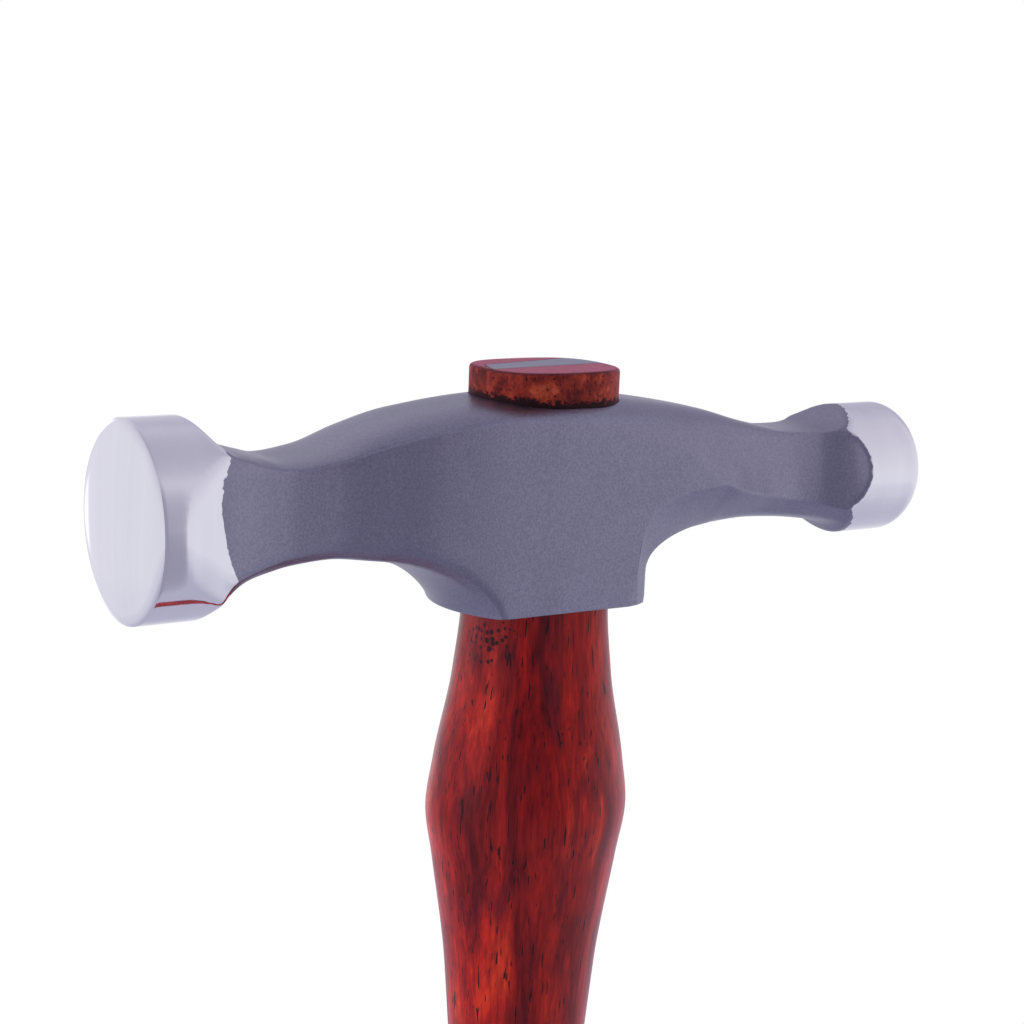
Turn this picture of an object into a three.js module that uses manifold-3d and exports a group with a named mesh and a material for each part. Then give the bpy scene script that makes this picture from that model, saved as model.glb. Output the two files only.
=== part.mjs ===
// A silversmith's blocking hammer: a double-faced steel head on a shaped hardwood handle.
// Millimetres, +Z up the handle, +X towards the smaller face, origin at the middle of the butt.
import * as THREE from 'three';
import { mergeVertices } from 'three/addons/utils/BufferGeometryUtils.js';
import Module from 'manifold-3d';

const wasm = await Module();
wasm.setup();
const { clamp, degToRad, lerp, smoothstep } = THREE.MathUtils;

// Clearance between pieces that fit together, and the overrun of every cut.
const fit = 0.3;
const overrun = 2;

// The two ends of the head. A reach is the distance of a face from the head's middle, the crown
// is the radius to which the face is domed and the rim is the rounding from it to the barrel.
const bell = { side: -1, reach: 60.1, radius: 12.45, crown: 110, rim: 1.5 };
const knob = { side: 1, reach: 61.9, radius: 9.35, crown: 24, rim: 3.1 };

// The middle of the head: flat cheeks, a crowned top over the eye and a boss with a flat
// underside. Heights and drops are taken from the common axis of the faces, widths are half
// widths along Y, and the boss's half lengths are along X: its whole length and that of the
// underside's flat middle. The eye's axis is a little towards the knob from the middle.
const cheek = { width: 9.8, browHeight: 10.5 };
const eyeOffset = 0.1;
const crest = { height: 13.3 };
const boss = {
  drop: 14.6,
  length: 12,
  flat: 8.6,
  bellBow: 2.65,
  knobBow: 1.5,
  keelWidth: 8.6,
  bellInset: 0.9,
  knobInset: 2.2,
};

// Handle: its length below the head's underside, how far its tenon stands out above the head, and
// the half sizes of its oval section along X (width) and Y (depth) at each drop below the
// underside.
const handle = {
  length: 230,
  tenonStand: 3.4,
  tenonEdge: 0.5,
  tenon: { width: 9.6, depth: 8 },
  neck: { width: 9.55, depth: 7.9 },
  swell: { drop: 28.5, width: 14.3, depth: 11.4 },
  waist: { drop: 84, width: 8.6, depth: 7.6 },
  grip: { drop: 182, width: 15.2, depth: 13.4 },
  heel: { drop: 226, width: 13.8, depth: 12.2 },
  butt: { rounding: 11, width: 6, depth: 5 },
};
const tenonRise = boss.drop + crest.height + handle.tenonStand;

// Wedge: driven a little askew into the kerf of the tenon and ground flush with its end.
const wedge = { depth: 21, thickness: 4.9, tip: 1.2, inset: 1.4, offset: 1.7 };
const wedgeTurn = degToRad(9);
const wedgeSkew = degToRad(26);
const kerf = { width: 1.6, beyondWedge: 4 };

// Counts of rings along the head, of facets round a section, of facets round a turned end and of
// rings and facets on the handle.
const rings = { arm: 26, turn: 8, wall: 1, under: 2, shaft: 44, butt: 5 };
const strips = { crown: 4, shoulder: 3, cheek: 3, bevel: 2, under: 4 };
const turned = { sides: 48, arc: 3 };
const ovalSides = 36;

// The lines that shape the head run along X. On the way from each face to the boss, a station's
// place is a share of that end's reach. Its value is a share of a size that goes from that end's
// radius, at the face, to the height of the crest or the width of the cheek, at the eye. Below the
// axis it is a share of the radius alone. The crest, the shoulder, the brow, the sill, the keel
// and the spine are heights and drops; the shoulder, the side and the keel have widths too.
const bellShares = {
  upperPlace: [0.922, 0.897, 0.863, 0.833, 0.803, 0.764, 0.714, 0.655, 0.565, 0.456, 0.337],
  crest: [1.214, 1.141, 1.031, 0.812, 0.713, 0.659, 0.59, 0.528, 0.578, 0.757, 0.888],
  shoulder: [1.198, 1.125, 1.011, 0.79, 0.682, 0.617, 0.54, 0.498, 0.545, 0.688, 0.8],
  brow: [1.182, 1.101, 0.979, 0.762, 0.654, 0.585, 0.511, 0.468, 0.515, 0.649, 0.771],
  shoulderWidth: [1.046, 0.961, 0.86, 0.766, 0.7, 0.643, 0.598, 0.583, 0.607, 0.692, 0.796],
  side: [1.062, 0.981, 0.881, 0.791, 0.725, 0.672, 0.641, 0.628, 0.652, 0.749, 0.867],
  lowerPlace: [0.922, 0.897, 0.863, 0.833, 0.803, 0.764, 0.714, 0.655, 0.565, 0.456],
  sill: [0.161, 0.229, 0.321, 0.426, 0.522, 0.48, 0.408, 0.347, 0.306, 0.357],
  keel: [1.028, 0.956, 0.876, 0.779, 0.643, 0.551, 0.5, 0.449, 0.418, 0.48],
  keelWidth: [0.795, 0.763, 0.723, 0.691, 0.643, 0.571, 0.52, 0.5, 0.51, 0.561],
  spine: [1.237, 1.189, 1.102, 0.867, 0.714, 0.622, 0.571, 0.52, 0.49, 0.541],
};
const knobShares = {
  upperPlace: [0.82, 0.78, 0.74, 0.7, 0.63, 0.57, 0.5, 0.396, 0.3, 0.22, 0.13],
  crest: [0.939, 0.72, 0.636, 0.613, 0.614, 0.663, 0.738, 0.867, 0.933, 0.97, 0.996],
  shoulder: [0.924, 0.714, 0.626, 0.598, 0.588, 0.61, 0.65, 0.716, 0.78, 0.825, 0.864],
  brow: [0.567, 0.465, 0.385, 0.315, 0.264, 0.215, 0.168, 0.072, 0.368, 0.496, 0.616],
  shoulderWidth: [0.927, 0.713, 0.602, 0.551, 0.53, 0.538, 0.585, 0.696, 0.807, 0.856, 0.893],
  side: [1.027, 0.804, 0.692, 0.651, 0.639, 0.686, 0.809, 0.987, 1.015, 1.051, 1.232],
  lowerPlace: [0.82, 0.78, 0.74, 0.7, 0.63, 0.53, 0.45, 0.396],
  sill: [0.69, 0.505, 0.433, 0.385, 0.316, 0.193, 0.051, -0.081],
  keel: [0.947, 0.722, 0.652, 0.615, 0.558, 0.508, 0.508, 0.538],
  keelWidth: [0.813, 0.61, 0.497, 0.447, 0.427, 0.447, 0.497, 0.559],
  spine: [1.037, 0.818, 0.757, 0.714, 0.661, 0.63, 0.661, 0.701],
};
// Over the eye: how far the shoulder stands above the brow and the brow dips, as shares of the way
// from the brow to the crest, and how far the shoulder stands in, as a share of the cheek's width.
const middleShares = { shoulderRise: 0.38, shoulderInset: 0.095, browDip: 0.19 };

// How each lower line turns from its arm into the wall of the boss: where the wall starts, as a
// share of the boss's drop, the slope of the arm at the turn, the pull of the arm and of the wall
// on the curve, and how far the wall leans outwards.
const bellTurnShares = {
  sill: { wallStart: 0.97, slope: 0.09, armPull: 0.43, wallPull: 0.47, lean: 0.52 },
  keel: { wallStart: 0.97, slope: 0.1, armPull: 0.47, wallPull: 0.44, lean: 0.46 },
  spine: { wallStart: 0.97, slope: 0.1, armPull: 0.47, wallPull: 0.44, lean: 0.64 },
};
const knobTurnShares = {
  sill: { wallStart: 0.6, slope: 0.03, armPull: 0.7, wallPull: 0.72, lean: 0 },
  keel: { wallStart: 0.68, slope: 0.07, armPull: 0.6, wallPull: 0.7, lean: 0.15 },
  spine: { wallStart: 0.68, slope: 0.07, armPull: 0.6, wallPull: 0.7, lean: 0.15 },
};

// The handle between its named sections: the share of the way down to the next one and the share
// of the change in size that is reached there.
const neckToSwellShares = [[0.35, 0.22], [0.78, 0.8]];
const swellToWaistShares = [[0.13, 0.2], [0.42, 0.64]];
const waistToGripShares = [[0.5, 0.5]];

// How square the crown of the head, the tenon and the grip are: the powers of their outlines.
const crownPowerShare = 4;
const tenonPowerShare = 2.8;
const gripPowerShare = 2.1;

// Shares of a reach: where the turned ends begin, and where the shoulder's roll has faded out.
const clearShare = 0.75;
const rollEndShare = 0.55;

// A smooth line through stations [along, value]; it never swings past them.
function fairLine(stations) {
  const sorted = [...stations].sort((a, b) => a[0] - b[0]);
  const last = sorted.length - 1;
  const run = (i) => sorted[i + 1][0] - sorted[i][0];
  const rise = (i) => (sorted[i + 1][1] - sorted[i][1]) / run(i);
  const slopes = sorted.map((_, i) => {
    if (i === 0) return rise(0);
    if (i === last) return rise(last - 1);
    const before = rise(i - 1);
    const after = rise(i);
    if (before * after <= 0) return 0;
    const a = 2 * run(i) + run(i - 1);
    const b = run(i) + 2 * run(i - 1);
    return (a + b) / (a / before + b / after);
  });
  return (along) => {
    const place = clamp(along, sorted[0][0], sorted[last][0]);
    let i = 0;
    while (i < last - 1 && place > sorted[i + 1][0]) i += 1;
    const t = (place - sorted[i][0]) / run(i);
    const u = 1 - t;
    return sorted[i][1] * (1 + 2 * t) * u * u + sorted[i + 1][1] * t * t * (3 - 2 * t)
      + run(i) * (slopes[i] * t * u * u - slopes[i + 1] * t * t * u);
  };
}

// The stations of one line on one end, in millimetres along X.
function stationsOf(end, places, values, sizeAtEye) {
  return places.map((place, i) => {
    return [end.side * place * end.reach, values[i] * lerp(sizeAtEye, end.radius, place)];
  });
}
function upperLine(name, sizeAtEye, middle) {
  return fairLine([
    ...stationsOf(bell, bellShares.upperPlace, bellShares[name], sizeAtEye),
    ...middle,
    ...stationsOf(knob, knobShares.upperPlace, knobShares[name], sizeAtEye),
  ]);
}
const shoulderTop = lerp(cheek.browHeight, crest.height, middleShares.shoulderRise);
const shoulderSide = cheek.width * (1 - middleShares.shoulderInset);
const browLow = lerp(cheek.browHeight, crest.height, -middleShares.browDip);
const heightLine = (name, middle) => upperLine(name, crest.height, middle);
const widthLine = (name, middle) => upperLine(name, cheek.width, middle);
const crestLine = heightLine('crest', [[0, crest.height]]);
const shoulderLine = heightLine('shoulder', [[-boss.flat, shoulderTop], [0, shoulderTop]]);
const browLine = heightLine('brow', [[-boss.flat, cheek.browHeight], [0, browLow]]);
const shoulderWidthLine = widthLine('shoulderWidth', [[-boss.length, shoulderSide], [0, shoulderSide]]);
const fullSide = widthLine('side', [[-boss.length, cheek.width], [0, cheek.width + boss.length]]);
const sideLine = (x) => (x < -boss.length ? fullSide(x) : Math.min(fullSide(x), cheek.width));
const keelWidthLine = fairLine([
  ...stationsOf(bell, bellShares.lowerPlace, bellShares.keelWidth, bell.radius),
  [-boss.length, boss.keelWidth],
  [boss.length, boss.keelWidth],
  ...stationsOf(knob, knobShares.lowerPlace, knobShares.keelWidth, knob.radius),
]);

// A lower line of one half of the head as places in the XZ plane: along the arm, round the turn
// and down the wall of the boss.
function lowerLine(end, stations, wall, shares) {
  const outward = stations.map(([along, drop]) => [along * end.side, drop]);
  const arm = fairLine(outward);
  const [root, rootDrop] = outward.at(-1);
  const wallTop = boss.drop * shares.wallStart;
  const inward = (root - wall) * shares.armPull;
  const climb = (wallTop - rootDrop) * shares.wallPull;
  const turn = new THREE.CubicBezierCurve(
    new THREE.Vector2(root, rootDrop),
    new THREE.Vector2(root - inward, rootDrop + shares.slope * inward),
    new THREE.Vector2(wall + climb * shares.lean, wallTop - climb),
    new THREE.Vector2(wall, wallTop),
  );
  const place = (reach, drop) => new THREE.Vector2(end.side * reach, -drop);
  return {
    arm: (reach) => place(reach, arm(reach)),
    turn: (t) => place(turn.getPoint(t).x, turn.getPoint(t).y),
    wall: (t) => place(wall, lerp(wallTop, boss.drop, t)),
  };
}

// One half of the head: its sill, where the cheek or the arm's side ends, its keel, where the
// bevel below that meets the underside, and its spine, in the middle of the underside.
function headHalf(end, shares, turnShares, inset, bow) {
  const line = (name, wall) => {
    const stations = stationsOf(end, shares.lowerPlace, shares[name], end.radius);
    return lowerLine(end, stations, wall, turnShares[name]);
  };
  return {
    end,
    barrelEnd: shares.lowerPlace[0] * end.reach,
    root: shares.lowerPlace.at(-1) * end.reach,
    sill: line('sill', boss.length - inset),
    keel: line('keel', boss.length),
    spine: line('spine', boss.length + bow),
  };
}
const bellHalf = headHalf(bell, bellShares, bellTurnShares, boss.bellInset, boss.bellBow);
const knobHalf = headHalf(knob, knobShares, knobTurnShares, boss.knobInset, boss.knobBow);

// Places of the sections: across the arm they lie in one plane, at the boss they fan out below.
function section(half, x, stretch, t) {
  return { x, sill: half.sill[stretch](t), keel: half.keel[stretch](t), spine: half.spine[stretch](t) };
}
function halfSections(half) {
  const { side, reach } = half.end;
  const found = [section(half, side * (reach + overrun), 'arm', reach + overrun)];
  for (let i = 0; i <= rings.arm; i += 1) {
    const along = lerp(half.barrelEnd, half.root, i / rings.arm);
    found.push(section(half, side * along, 'arm', along));
  }
  for (let i = 1; i <= rings.turn; i += 1) {
    const t = i / rings.turn;
    found.push(section(half, side * lerp(half.root, boss.length, t), 'turn', t));
  }
  for (let i = 1; i <= rings.wall; i += 1) {
    const t = i / rings.wall;
    found.push(section(half, side * lerp(boss.length, boss.flat, t), 'wall', t));
  }
  return found;
}
function underSections(from, to) {
  const found = [];
  for (let i = 1; i < rings.under; i += 1) {
    const t = i / rings.under;
    found.push({
      x: lerp(from.x, to.x, t),
      sill: from.sill.clone().lerp(to.sill, t),
      keel: from.keel.clone().lerp(to.keel, t),
      spine: from.spine.clone().lerp(to.spine, t),
    });
  }
  return found;
}

// The front of a section from the crest down to the spine. Towards the knob, the cheek ends where
// the brow meets the sill. Past that the brow runs on inside the arm's side, from near the sill
// to half way up. The shoulder rolls down to the brow, less and less so along the knob's arm.
const cheekEnd = knobHalf.root;
const browFadeShares = [0.93, 0.5];
const rollEnd = knob.reach * rollEndShare;
function frontPoints({ x, sill, keel, spine }) {
  const shoulderPoint = new THREE.Vector3(x, -shoulderWidthLine(x), shoulderLine(x));
  const sillPoint = new THREE.Vector3(sill.x, -sideLine(sill.x), sill.y);
  const keelPoint = new THREE.Vector3(keel.x, -keelWidthLine(keel.x), keel.y);
  const browPoint = new THREE.Vector3(x, -sideLine(x), browLine(x));
  if (x > cheekEnd) {
    const fade = smoothstep(x, cheekEnd, knobHalf.barrelEnd);
    browPoint.lerpVectors(shoulderPoint, sillPoint, lerp(...browFadeShares, fade));
  }
  const points = [];
  for (let i = 0; i < strips.crown; i += 1) {
    const across = i / strips.crown;
    const height = lerp(shoulderPoint.z, crestLine(x), 1 - across ** crownPowerShare);
    points.push(new THREE.Vector3(x, shoulderPoint.y * across, height));
  }
  const facet = (from, to, count) => {
    for (let i = 0; i < count; i += 1) points.push(from.clone().lerp(to, i / count));
  };
  const fall = ((crestLine(x) - shoulderPoint.z) * crownPowerShare) / -shoulderPoint.y;
  const cornerHeight = shoulderPoint.z - fall * (shoulderPoint.y - browPoint.y);
  const corner = new THREE.Vector3(x, browPoint.y, Math.max(cornerHeight, browPoint.z));
  const pull = new THREE.Vector3().lerpVectors(shoulderPoint, browPoint, 0.5);
  pull.lerp(corner, 1 - smoothstep(x, boss.length, rollEnd));
  const roll = new THREE.QuadraticBezierCurve3(shoulderPoint, pull, browPoint);
  for (let i = 0; i < strips.shoulder; i += 1) points.push(roll.getPoint(i / strips.shoulder));
  facet(browPoint, sillPoint, strips.cheek);
  facet(sillPoint, keelPoint, strips.bevel);
  for (let i = 0; i <= strips.under; i += 1) {
    const across = 1 - i / strips.under;
    const bowed = 1 - across ** 2;
    const place = new THREE.Vector2(keel.x, keel.y).lerp(spine, bowed);
    points.push(new THREE.Vector3(place.x, keelPoint.y * across, place.y));
  }
  return points;
}
function headRing(place) {
  const front = frontPoints(place);
  const back = front.slice(1, -1).reverse().map((p) => new THREE.Vector3(p.x, -p.y, p.z));
  return [...front, ...back];
}

// The outline that an end of the head is turned to, from the middle of its face to the barrel:
// a domed face and a rim rounded into it.
function turnedOutline(end) {
  const domeMiddle = end.reach - end.crown;
  const rimOut = end.radius - end.rim;
  const spread = end.crown - end.rim;
  const lean = Math.asin(rimOut / spread);
  const outline = new THREE.Path();
  outline.moveTo(0, end.reach);
  outline.absarc(0, domeMiddle, end.crown, Math.PI / 2, Math.PI / 2 - lean, true);
  outline.absarc(rimOut, domeMiddle + spread * Math.cos(lean), end.rim, Math.PI / 2 - lean, 0, true);
  return outline.getPoints(turned.arc);
}
// A solid of revolution along X that rounds both ends of the head and leaves its middle alone.
function turnedEnds() {
  const clearRadius = boss.drop + crest.height;
  const half = (end) => [
    ...turnedOutline(end),
    new THREE.Vector2(end.radius, end.reach * clearShare),
    new THREE.Vector2(clearRadius, end.reach * clearShare),
  ];
  const bellOutline = half(bell).map((p) => new THREE.Vector2(p.x, -p.y));
  const outline = [...bellOutline, ...half(knob).reverse()];
  return new THREE.LatheGeometry(outline, turned.sides).rotateZ(-Math.PI / 2);
}

// A closed skin over rings with equal counts of points, closed by a point at each end.
function skin(ringList, firstPole, lastPole) {
  const count = ringList[0].length;
  const points = [...ringList.flat(), firstPole, lastPole];
  const first = points.length - 2;
  const last = points.length - 1;
  const lastRing = (ringList.length - 1) * count;
  const index = [];
  for (let i = 0; i < count; i += 1) {
    const next = (i + 1) % count;
    index.push(first, next, i, last, lastRing + i, lastRing + next);
    for (let start = 0; start < lastRing; start += count) {
      const [a, b, c, d] = [start + i, start + next, start + count + next, start + count + i];
      index.push(a, b, d, b, c, d);
    }
  }
  return new THREE.BufferGeometry().setFromPoints(points).setIndex(index);
}

// Closed geometry as a solid that can be cut, and back.
function solid(geometry) {
  const bare = geometry.clone();
  bare.deleteAttribute('normal');
  bare.deleteAttribute('uv');
  const merged = mergeVertices(bare);
  return new wasm.Manifold(new wasm.Mesh({
    numProp: 3,
    vertProperties: Float32Array.from(merged.attributes.position.array),
    triVerts: Uint32Array.from(merged.index.array),
  }));
}
function geometryOf(body) {
  const mesh = body.getMesh();
  const geometry = new THREE.BufferGeometry();
  geometry.setAttribute('position', new THREE.BufferAttribute(mesh.vertProperties, 3));
  geometry.setIndex(new THREE.BufferAttribute(mesh.triVerts, 1));
  return geometry;
}

// The half sizes of the handle's oval section at a height above the underside of the head.
function handleLine(name) {
  const station = ({ drop }, value) => [-drop, value];
  const between = (from, to, shares) => shares.map(([way, change]) => {
    return [-lerp(from.drop, to.drop, way), lerp(from[name], to[name], change)];
  });
  const neck = { drop: 0, ...handle.neck };
  const { swell, waist, grip, heel } = handle;
  return fairLine([
    [tenonRise, handle.tenon[name]],
    station(neck, neck[name]),
    ...between(neck, swell, neckToSwellShares),
    station(swell, swell[name]),
    ...between(swell, waist, swellToWaistShares),
    station(waist, waist[name]),
    ...between(waist, grip, waistToGripShares),
    station(grip, grip[name]),
    station(heel, heel[name]),
  ]);
}
const handleLines = { width: handleLine('width'), depth: handleLine('depth') };
function handleHalf(name, height) {
  const into = clamp((handle.butt.rounding - handle.length - height) / handle.butt.rounding, 0, 1);
  return lerp(handle.butt[name], handleLines[name](height), Math.sqrt(1 - into ** 2));
}
function handleOval(height, grow) {
  const ring = [];
  const power = lerp(gripPowerShare, tenonPowerShare, smoothstep(height, -handle.swell.drop, 0));
  const bend = (v) => Math.sign(v) * Math.abs(v) ** (2 / power);
  for (let i = 0; i < ovalSides; i += 1) {
    const angle = (i / ovalSides) * Math.PI * 2;
    const width = (handleHalf('width', height) + grow) * bend(Math.cos(angle));
    const depth = (handleHalf('depth', height) + grow) * bend(Math.sin(angle));
    ring.push(new THREE.Vector3(width, depth, height));
  }
  return ring;
}
const onAxis = (height) => new THREE.Vector3(0, 0, height);

// Head, with the common axis of its faces at height zero: the skin over its sections, with both
// ends turned round, less the eye.
function makeHead() {
  const left = halfSections(bellHalf);
  const right = halfSections(knobHalf);
  const places = [...left, ...underSections(left.at(-1), right.at(-1)), ...right.reverse()];
  const body = skin(
    places.map(headRing),
    new THREE.Vector3(places[0].x, 0, 0),
    new THREE.Vector3(places.at(-1).x, 0, 0),
  );
  const eyeHeights = [-overrun, 0, tenonRise / 2, tenonRise, tenonRise + overrun];
  const eye = skin(
    eyeHeights.map((height) => handleOval(height, fit)),
    onAxis(eyeHeights[0]),
    onAxis(eyeHeights.at(-1)),
  ).translate(eyeOffset, 0, -boss.drop);
  return solid(body).intersect(solid(turnedEnds())).subtract(solid(eye));
}

// A tapered slab for the wedge or, grown by the clearance, for the kerf that takes it. It lies
// along X with its head at height zero and has a skewed end.
function wedgeSlab(grow, length) {
  const slope = (wedge.thickness - wedge.tip) / 2 / wedge.depth;
  const foot = wedge.depth + grow;
  const footHalf = wedge.tip / 2 + grow;
  const topHalf = wedge.thickness / 2 + grow + slope * overrun;
  const outline = new THREE.Shape([
    new THREE.Vector2(-footHalf, -foot),
    new THREE.Vector2(footHalf, -foot),
    new THREE.Vector2(topHalf, overrun),
    new THREE.Vector2(-topHalf, overrun),
  ]);
  const slab = new THREE.ExtrudeGeometry(outline, { depth: length, bevelEnabled: false });
  const skew = new THREE.Matrix4().makeShear(0, 0, Math.tan(wedgeSkew), 0, 0, 0);
  return slab.rotateX(Math.PI / 2).rotateZ(Math.PI / 2).applyMatrix4(skew);
}
function kerfSlit(length) {
  const depth = wedge.depth + kerf.beyondWedge;
  return new THREE.BoxGeometry(length, kerf.width, depth).translate(length / 2, 0, -depth / 2);
}
function placeInTenon(geometry, start) {
  return geometry
    .translate(start, 0, tenonRise)
    .rotateZ(wedgeTurn)
    .translate(0, wedge.offset, 0);
}

// Handle blank: one skin from the rounded butt to the edge of the tenon.
function makeBlank() {
  const { length, tenonEdge, butt } = handle;
  const heights = [];
  for (let i = 0; i < rings.butt; i += 1) {
    const angle = (i / rings.butt) * Math.PI / 2;
    heights.push(-length + butt.rounding * (1 - Math.cos(angle)));
  }
  for (let i = 0; i <= rings.shaft; i += 1) {
    heights.push(lerp(butt.rounding - length, tenonRise - tenonEdge, i / rings.shaft));
  }
  const ringList = heights.map((height) => handleOval(height, 0));
  ringList.push(handleOval(tenonRise, -tenonEdge));
  return solid(skin(ringList, onAxis(-length), onAxis(tenonRise)));
}
function makeHandle(blank) {
  const start = wedge.inset - handle.tenon.width - fit;
  const length = handle.tenon.width * 2 + boss.length;
  const pocket = solid(placeInTenon(wedgeSlab(fit, length), start));
  const slit = solid(placeInTenon(kerfSlit(length), start));
  return blank.subtract(pocket).subtract(slit);
}
function makeWedge(blank) {
  const start = wedge.inset - handle.tenon.width;
  return blank.intersect(solid(placeInTenon(wedgeSlab(0, handle.tenon.width * 2 + boss.length), start)));
}

const blastedSteel = new THREE.MeshStandardMaterial({ color: 0x6b6977, roughness: 0.55, metalness: 0.85 });
const redHardwood = new THREE.MeshStandardMaterial({ color: 0x7d1613, roughness: 0.35, metalness: 0 });
const groundSteel = new THREE.MeshStandardMaterial({ color: 0x9d9ba8, roughness: 0.45, metalness: 0.9 });

const hammer = new THREE.Group();
function addPiece(name, body, along, height, material) {
  const piece = new THREE.Mesh(geometryOf(body), material);
  piece.name = name;
  piece.position.set(along, 0, height);
  hammer.add(piece);
}
const blank = makeBlank();
addPiece('hammer_head', makeHead(), -eyeOffset, handle.length + boss.drop, blastedSteel);
addPiece('handle', makeHandle(blank), 0, handle.length, redHardwood);
addPiece('wedge', makeWedge(blank), 0, handle.length, groundSteel);

export default hammer;
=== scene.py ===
# %% [markdown]
# # A silversmith's blocking hammer
# The hammer is a forged steel head with two round faces, a shaped hardwood handle that stands
# through the head's eye, and one flat steel wedge that holds the two together. The CAD model gives
# the frame and the box. Here each of the three pieces is modelled again, finer, in the same place.

# %% Load the frame
import math
from bisect import bisect_right
import bpy
import numpy as np
from mathutils import Matrix, Vector


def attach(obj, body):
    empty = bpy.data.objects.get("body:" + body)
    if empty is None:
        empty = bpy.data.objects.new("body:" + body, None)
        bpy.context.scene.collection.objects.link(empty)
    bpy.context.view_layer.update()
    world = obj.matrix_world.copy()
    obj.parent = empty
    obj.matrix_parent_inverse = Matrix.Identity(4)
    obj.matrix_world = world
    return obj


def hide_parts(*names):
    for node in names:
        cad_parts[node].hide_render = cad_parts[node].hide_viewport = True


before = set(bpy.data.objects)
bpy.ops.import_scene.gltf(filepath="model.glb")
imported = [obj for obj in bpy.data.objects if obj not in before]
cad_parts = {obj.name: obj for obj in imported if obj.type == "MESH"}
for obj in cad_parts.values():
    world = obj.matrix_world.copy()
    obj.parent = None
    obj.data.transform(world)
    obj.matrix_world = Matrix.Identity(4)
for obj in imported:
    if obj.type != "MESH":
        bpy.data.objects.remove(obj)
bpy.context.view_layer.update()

MM = 0.001
print("nodes:", sorted(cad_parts))

# %% [markdown]
# ## Measures
# Blender works in metres and the hammer is thought of in millimetres, so shapes are worked out in
# millimetres and scaled once, when they become a mesh. Heights are taken from the butt of the
# handle, which stands on the floor. The eye is a hair off the head's middle, towards its smaller
# face.

# %% Measures and selection
UNDERSIDE = 230.0  # height of the flat underside of the head's boss
BOSS_DROP = 14.6  # from the common axis of both faces down to that flat
HEAD_AXIS = UNDERSIDE + BOSS_DROP
CREST_HEIGHT = 13.3  # from the axis up to the top of the head, over the eye
TENON_STAND = 3.4  # how far the tenon stands over that
TENON_RISE = BOSS_DROP + CREST_HEIGHT + TENON_STAND
EYE_OFFSET = 0.1


def select_only(piece):
    """Leaves one piece selected and active, because an operator acts on all that is selected."""
    bpy.ops.object.select_all(action="DESELECT")
    piece.select_set(True)
    bpy.context.view_layer.objects.active = piece


print("head axis at", HEAD_AXIS, "mm, end of the tenon at", UNDERSIDE + TENON_RISE, "mm")

# %% [markdown]
# ## Fair lines
# A smith judges a shape by its long lines: the crest along the top, the shoulder beside it, the
# sill where a flat side ends. Each is drawn as a fair line, a smooth curve through a few measured
# stations that never swings past them. Blender's own curves would do, but they overshoot between
# stations that are close together, as they are at the flare of a face.

# %% Fair lines
def fair_line(stations):
    """A smooth line through [along, value] stations that never swings past them."""
    places, values = zip(*sorted(stations))
    runs = [b - a for a, b in zip(places, places[1:])]
    rises = [(b - a) / run for a, b, run in zip(values, values[1:], runs)]
    slopes = [rises[0]]
    for i in range(1, len(runs)):
        before, after = rises[i - 1], rises[i]
        slope = 0.0  # level at a peak or a hollow, and else a mean that leans to the gentler side
        if before * after > 0:
            first = 2 * runs[i] + runs[i - 1]
            second = runs[i] + 2 * runs[i - 1]
            slope = (first + second) / (first / before + second / after)
        slopes.append(slope)
    slopes.append(rises[-1])

    def line(along):
        place = min(max(along, places[0]), places[-1])
        i = min(max(bisect_right(places, place) - 1, 0), len(runs) - 1)
        t = (place - places[i]) / runs[i]
        u = 1 - t
        ends = values[i] * (1 + 2 * t) * u * u + values[i + 1] * t * t * (3 - 2 * t)
        return ends + runs[i] * (slopes[i] * t * u * u - slopes[i + 1] * t * t * u)

    return line


print("half way between two stations:", round(fair_line([(0, 0), (1, 1), (2, 1)])(0.5), 3))

# %% [markdown]
# ## Wrapping a sheet
# The head and the handle are both long forms whose section changes all the way along. A cylinder
# that is scaled ring by ring would give round sections only. So a flat grid is added and wrapped
# round the sections, as a skin is laid over ribs: one row of the grid for each section. The seam
# and the two ends, where a whole row meets in a point, are then merged, which closes the form.

# %% Wrap a grid round sections
MERGE = 1e-7


def wrap_sheet(name, sections, attributes=()):
    """A grid wrapped round closed sections (rows, sides, 3) in mm. The first and last close it."""
    rows, sides = sections.shape[:2]
    bpy.ops.object.select_all(action="DESELECT")
    bpy.ops.mesh.primitive_grid_add(x_subdivisions=sides, y_subdivisions=rows - 1, size=1)
    piece = bpy.context.object
    piece.name = name
    wrapped = np.concatenate([sections, sections[:, :1]], axis=1)
    piece.data.vertices.foreach_set("co", (wrapped * MM).ravel())
    for label, values in attributes:
        closed = np.concatenate([values, values[:, :1]], axis=1)
        layer = piece.data.attributes.new(label, "FLOAT", "POINT")
        layer.data.foreach_set("value", closed.ravel().astype(np.float32))
    bpy.ops.object.mode_set(mode="EDIT")
    bpy.ops.mesh.select_all(action="SELECT")
    bpy.ops.mesh.remove_doubles(threshold=MERGE)
    bpy.ops.mesh.normals_make_consistent(inside=False)
    bpy.ops.object.mode_set(mode="OBJECT")
    return piece


def cut(piece, tool, operation="DIFFERENCE"):
    """Cuts a piece with a tool, which is used up."""
    select_only(piece)
    modifier = piece.modifiers.new("cut", "BOOLEAN")
    modifier.operation = operation
    modifier.solver = "EXACT"
    modifier.object = tool
    bpy.ops.object.modifier_apply(modifier=modifier.name)
    bpy.data.objects.remove(tool)


def smooth(piece, degrees):
    """Smooth shading, but for edges that are sharper than an angle."""
    select_only(piece)
    bpy.ops.object.shade_smooth_by_angle(angle=math.radians(degrees))


print("a sheet's points closer than", MERGE, "m are merged")

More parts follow.
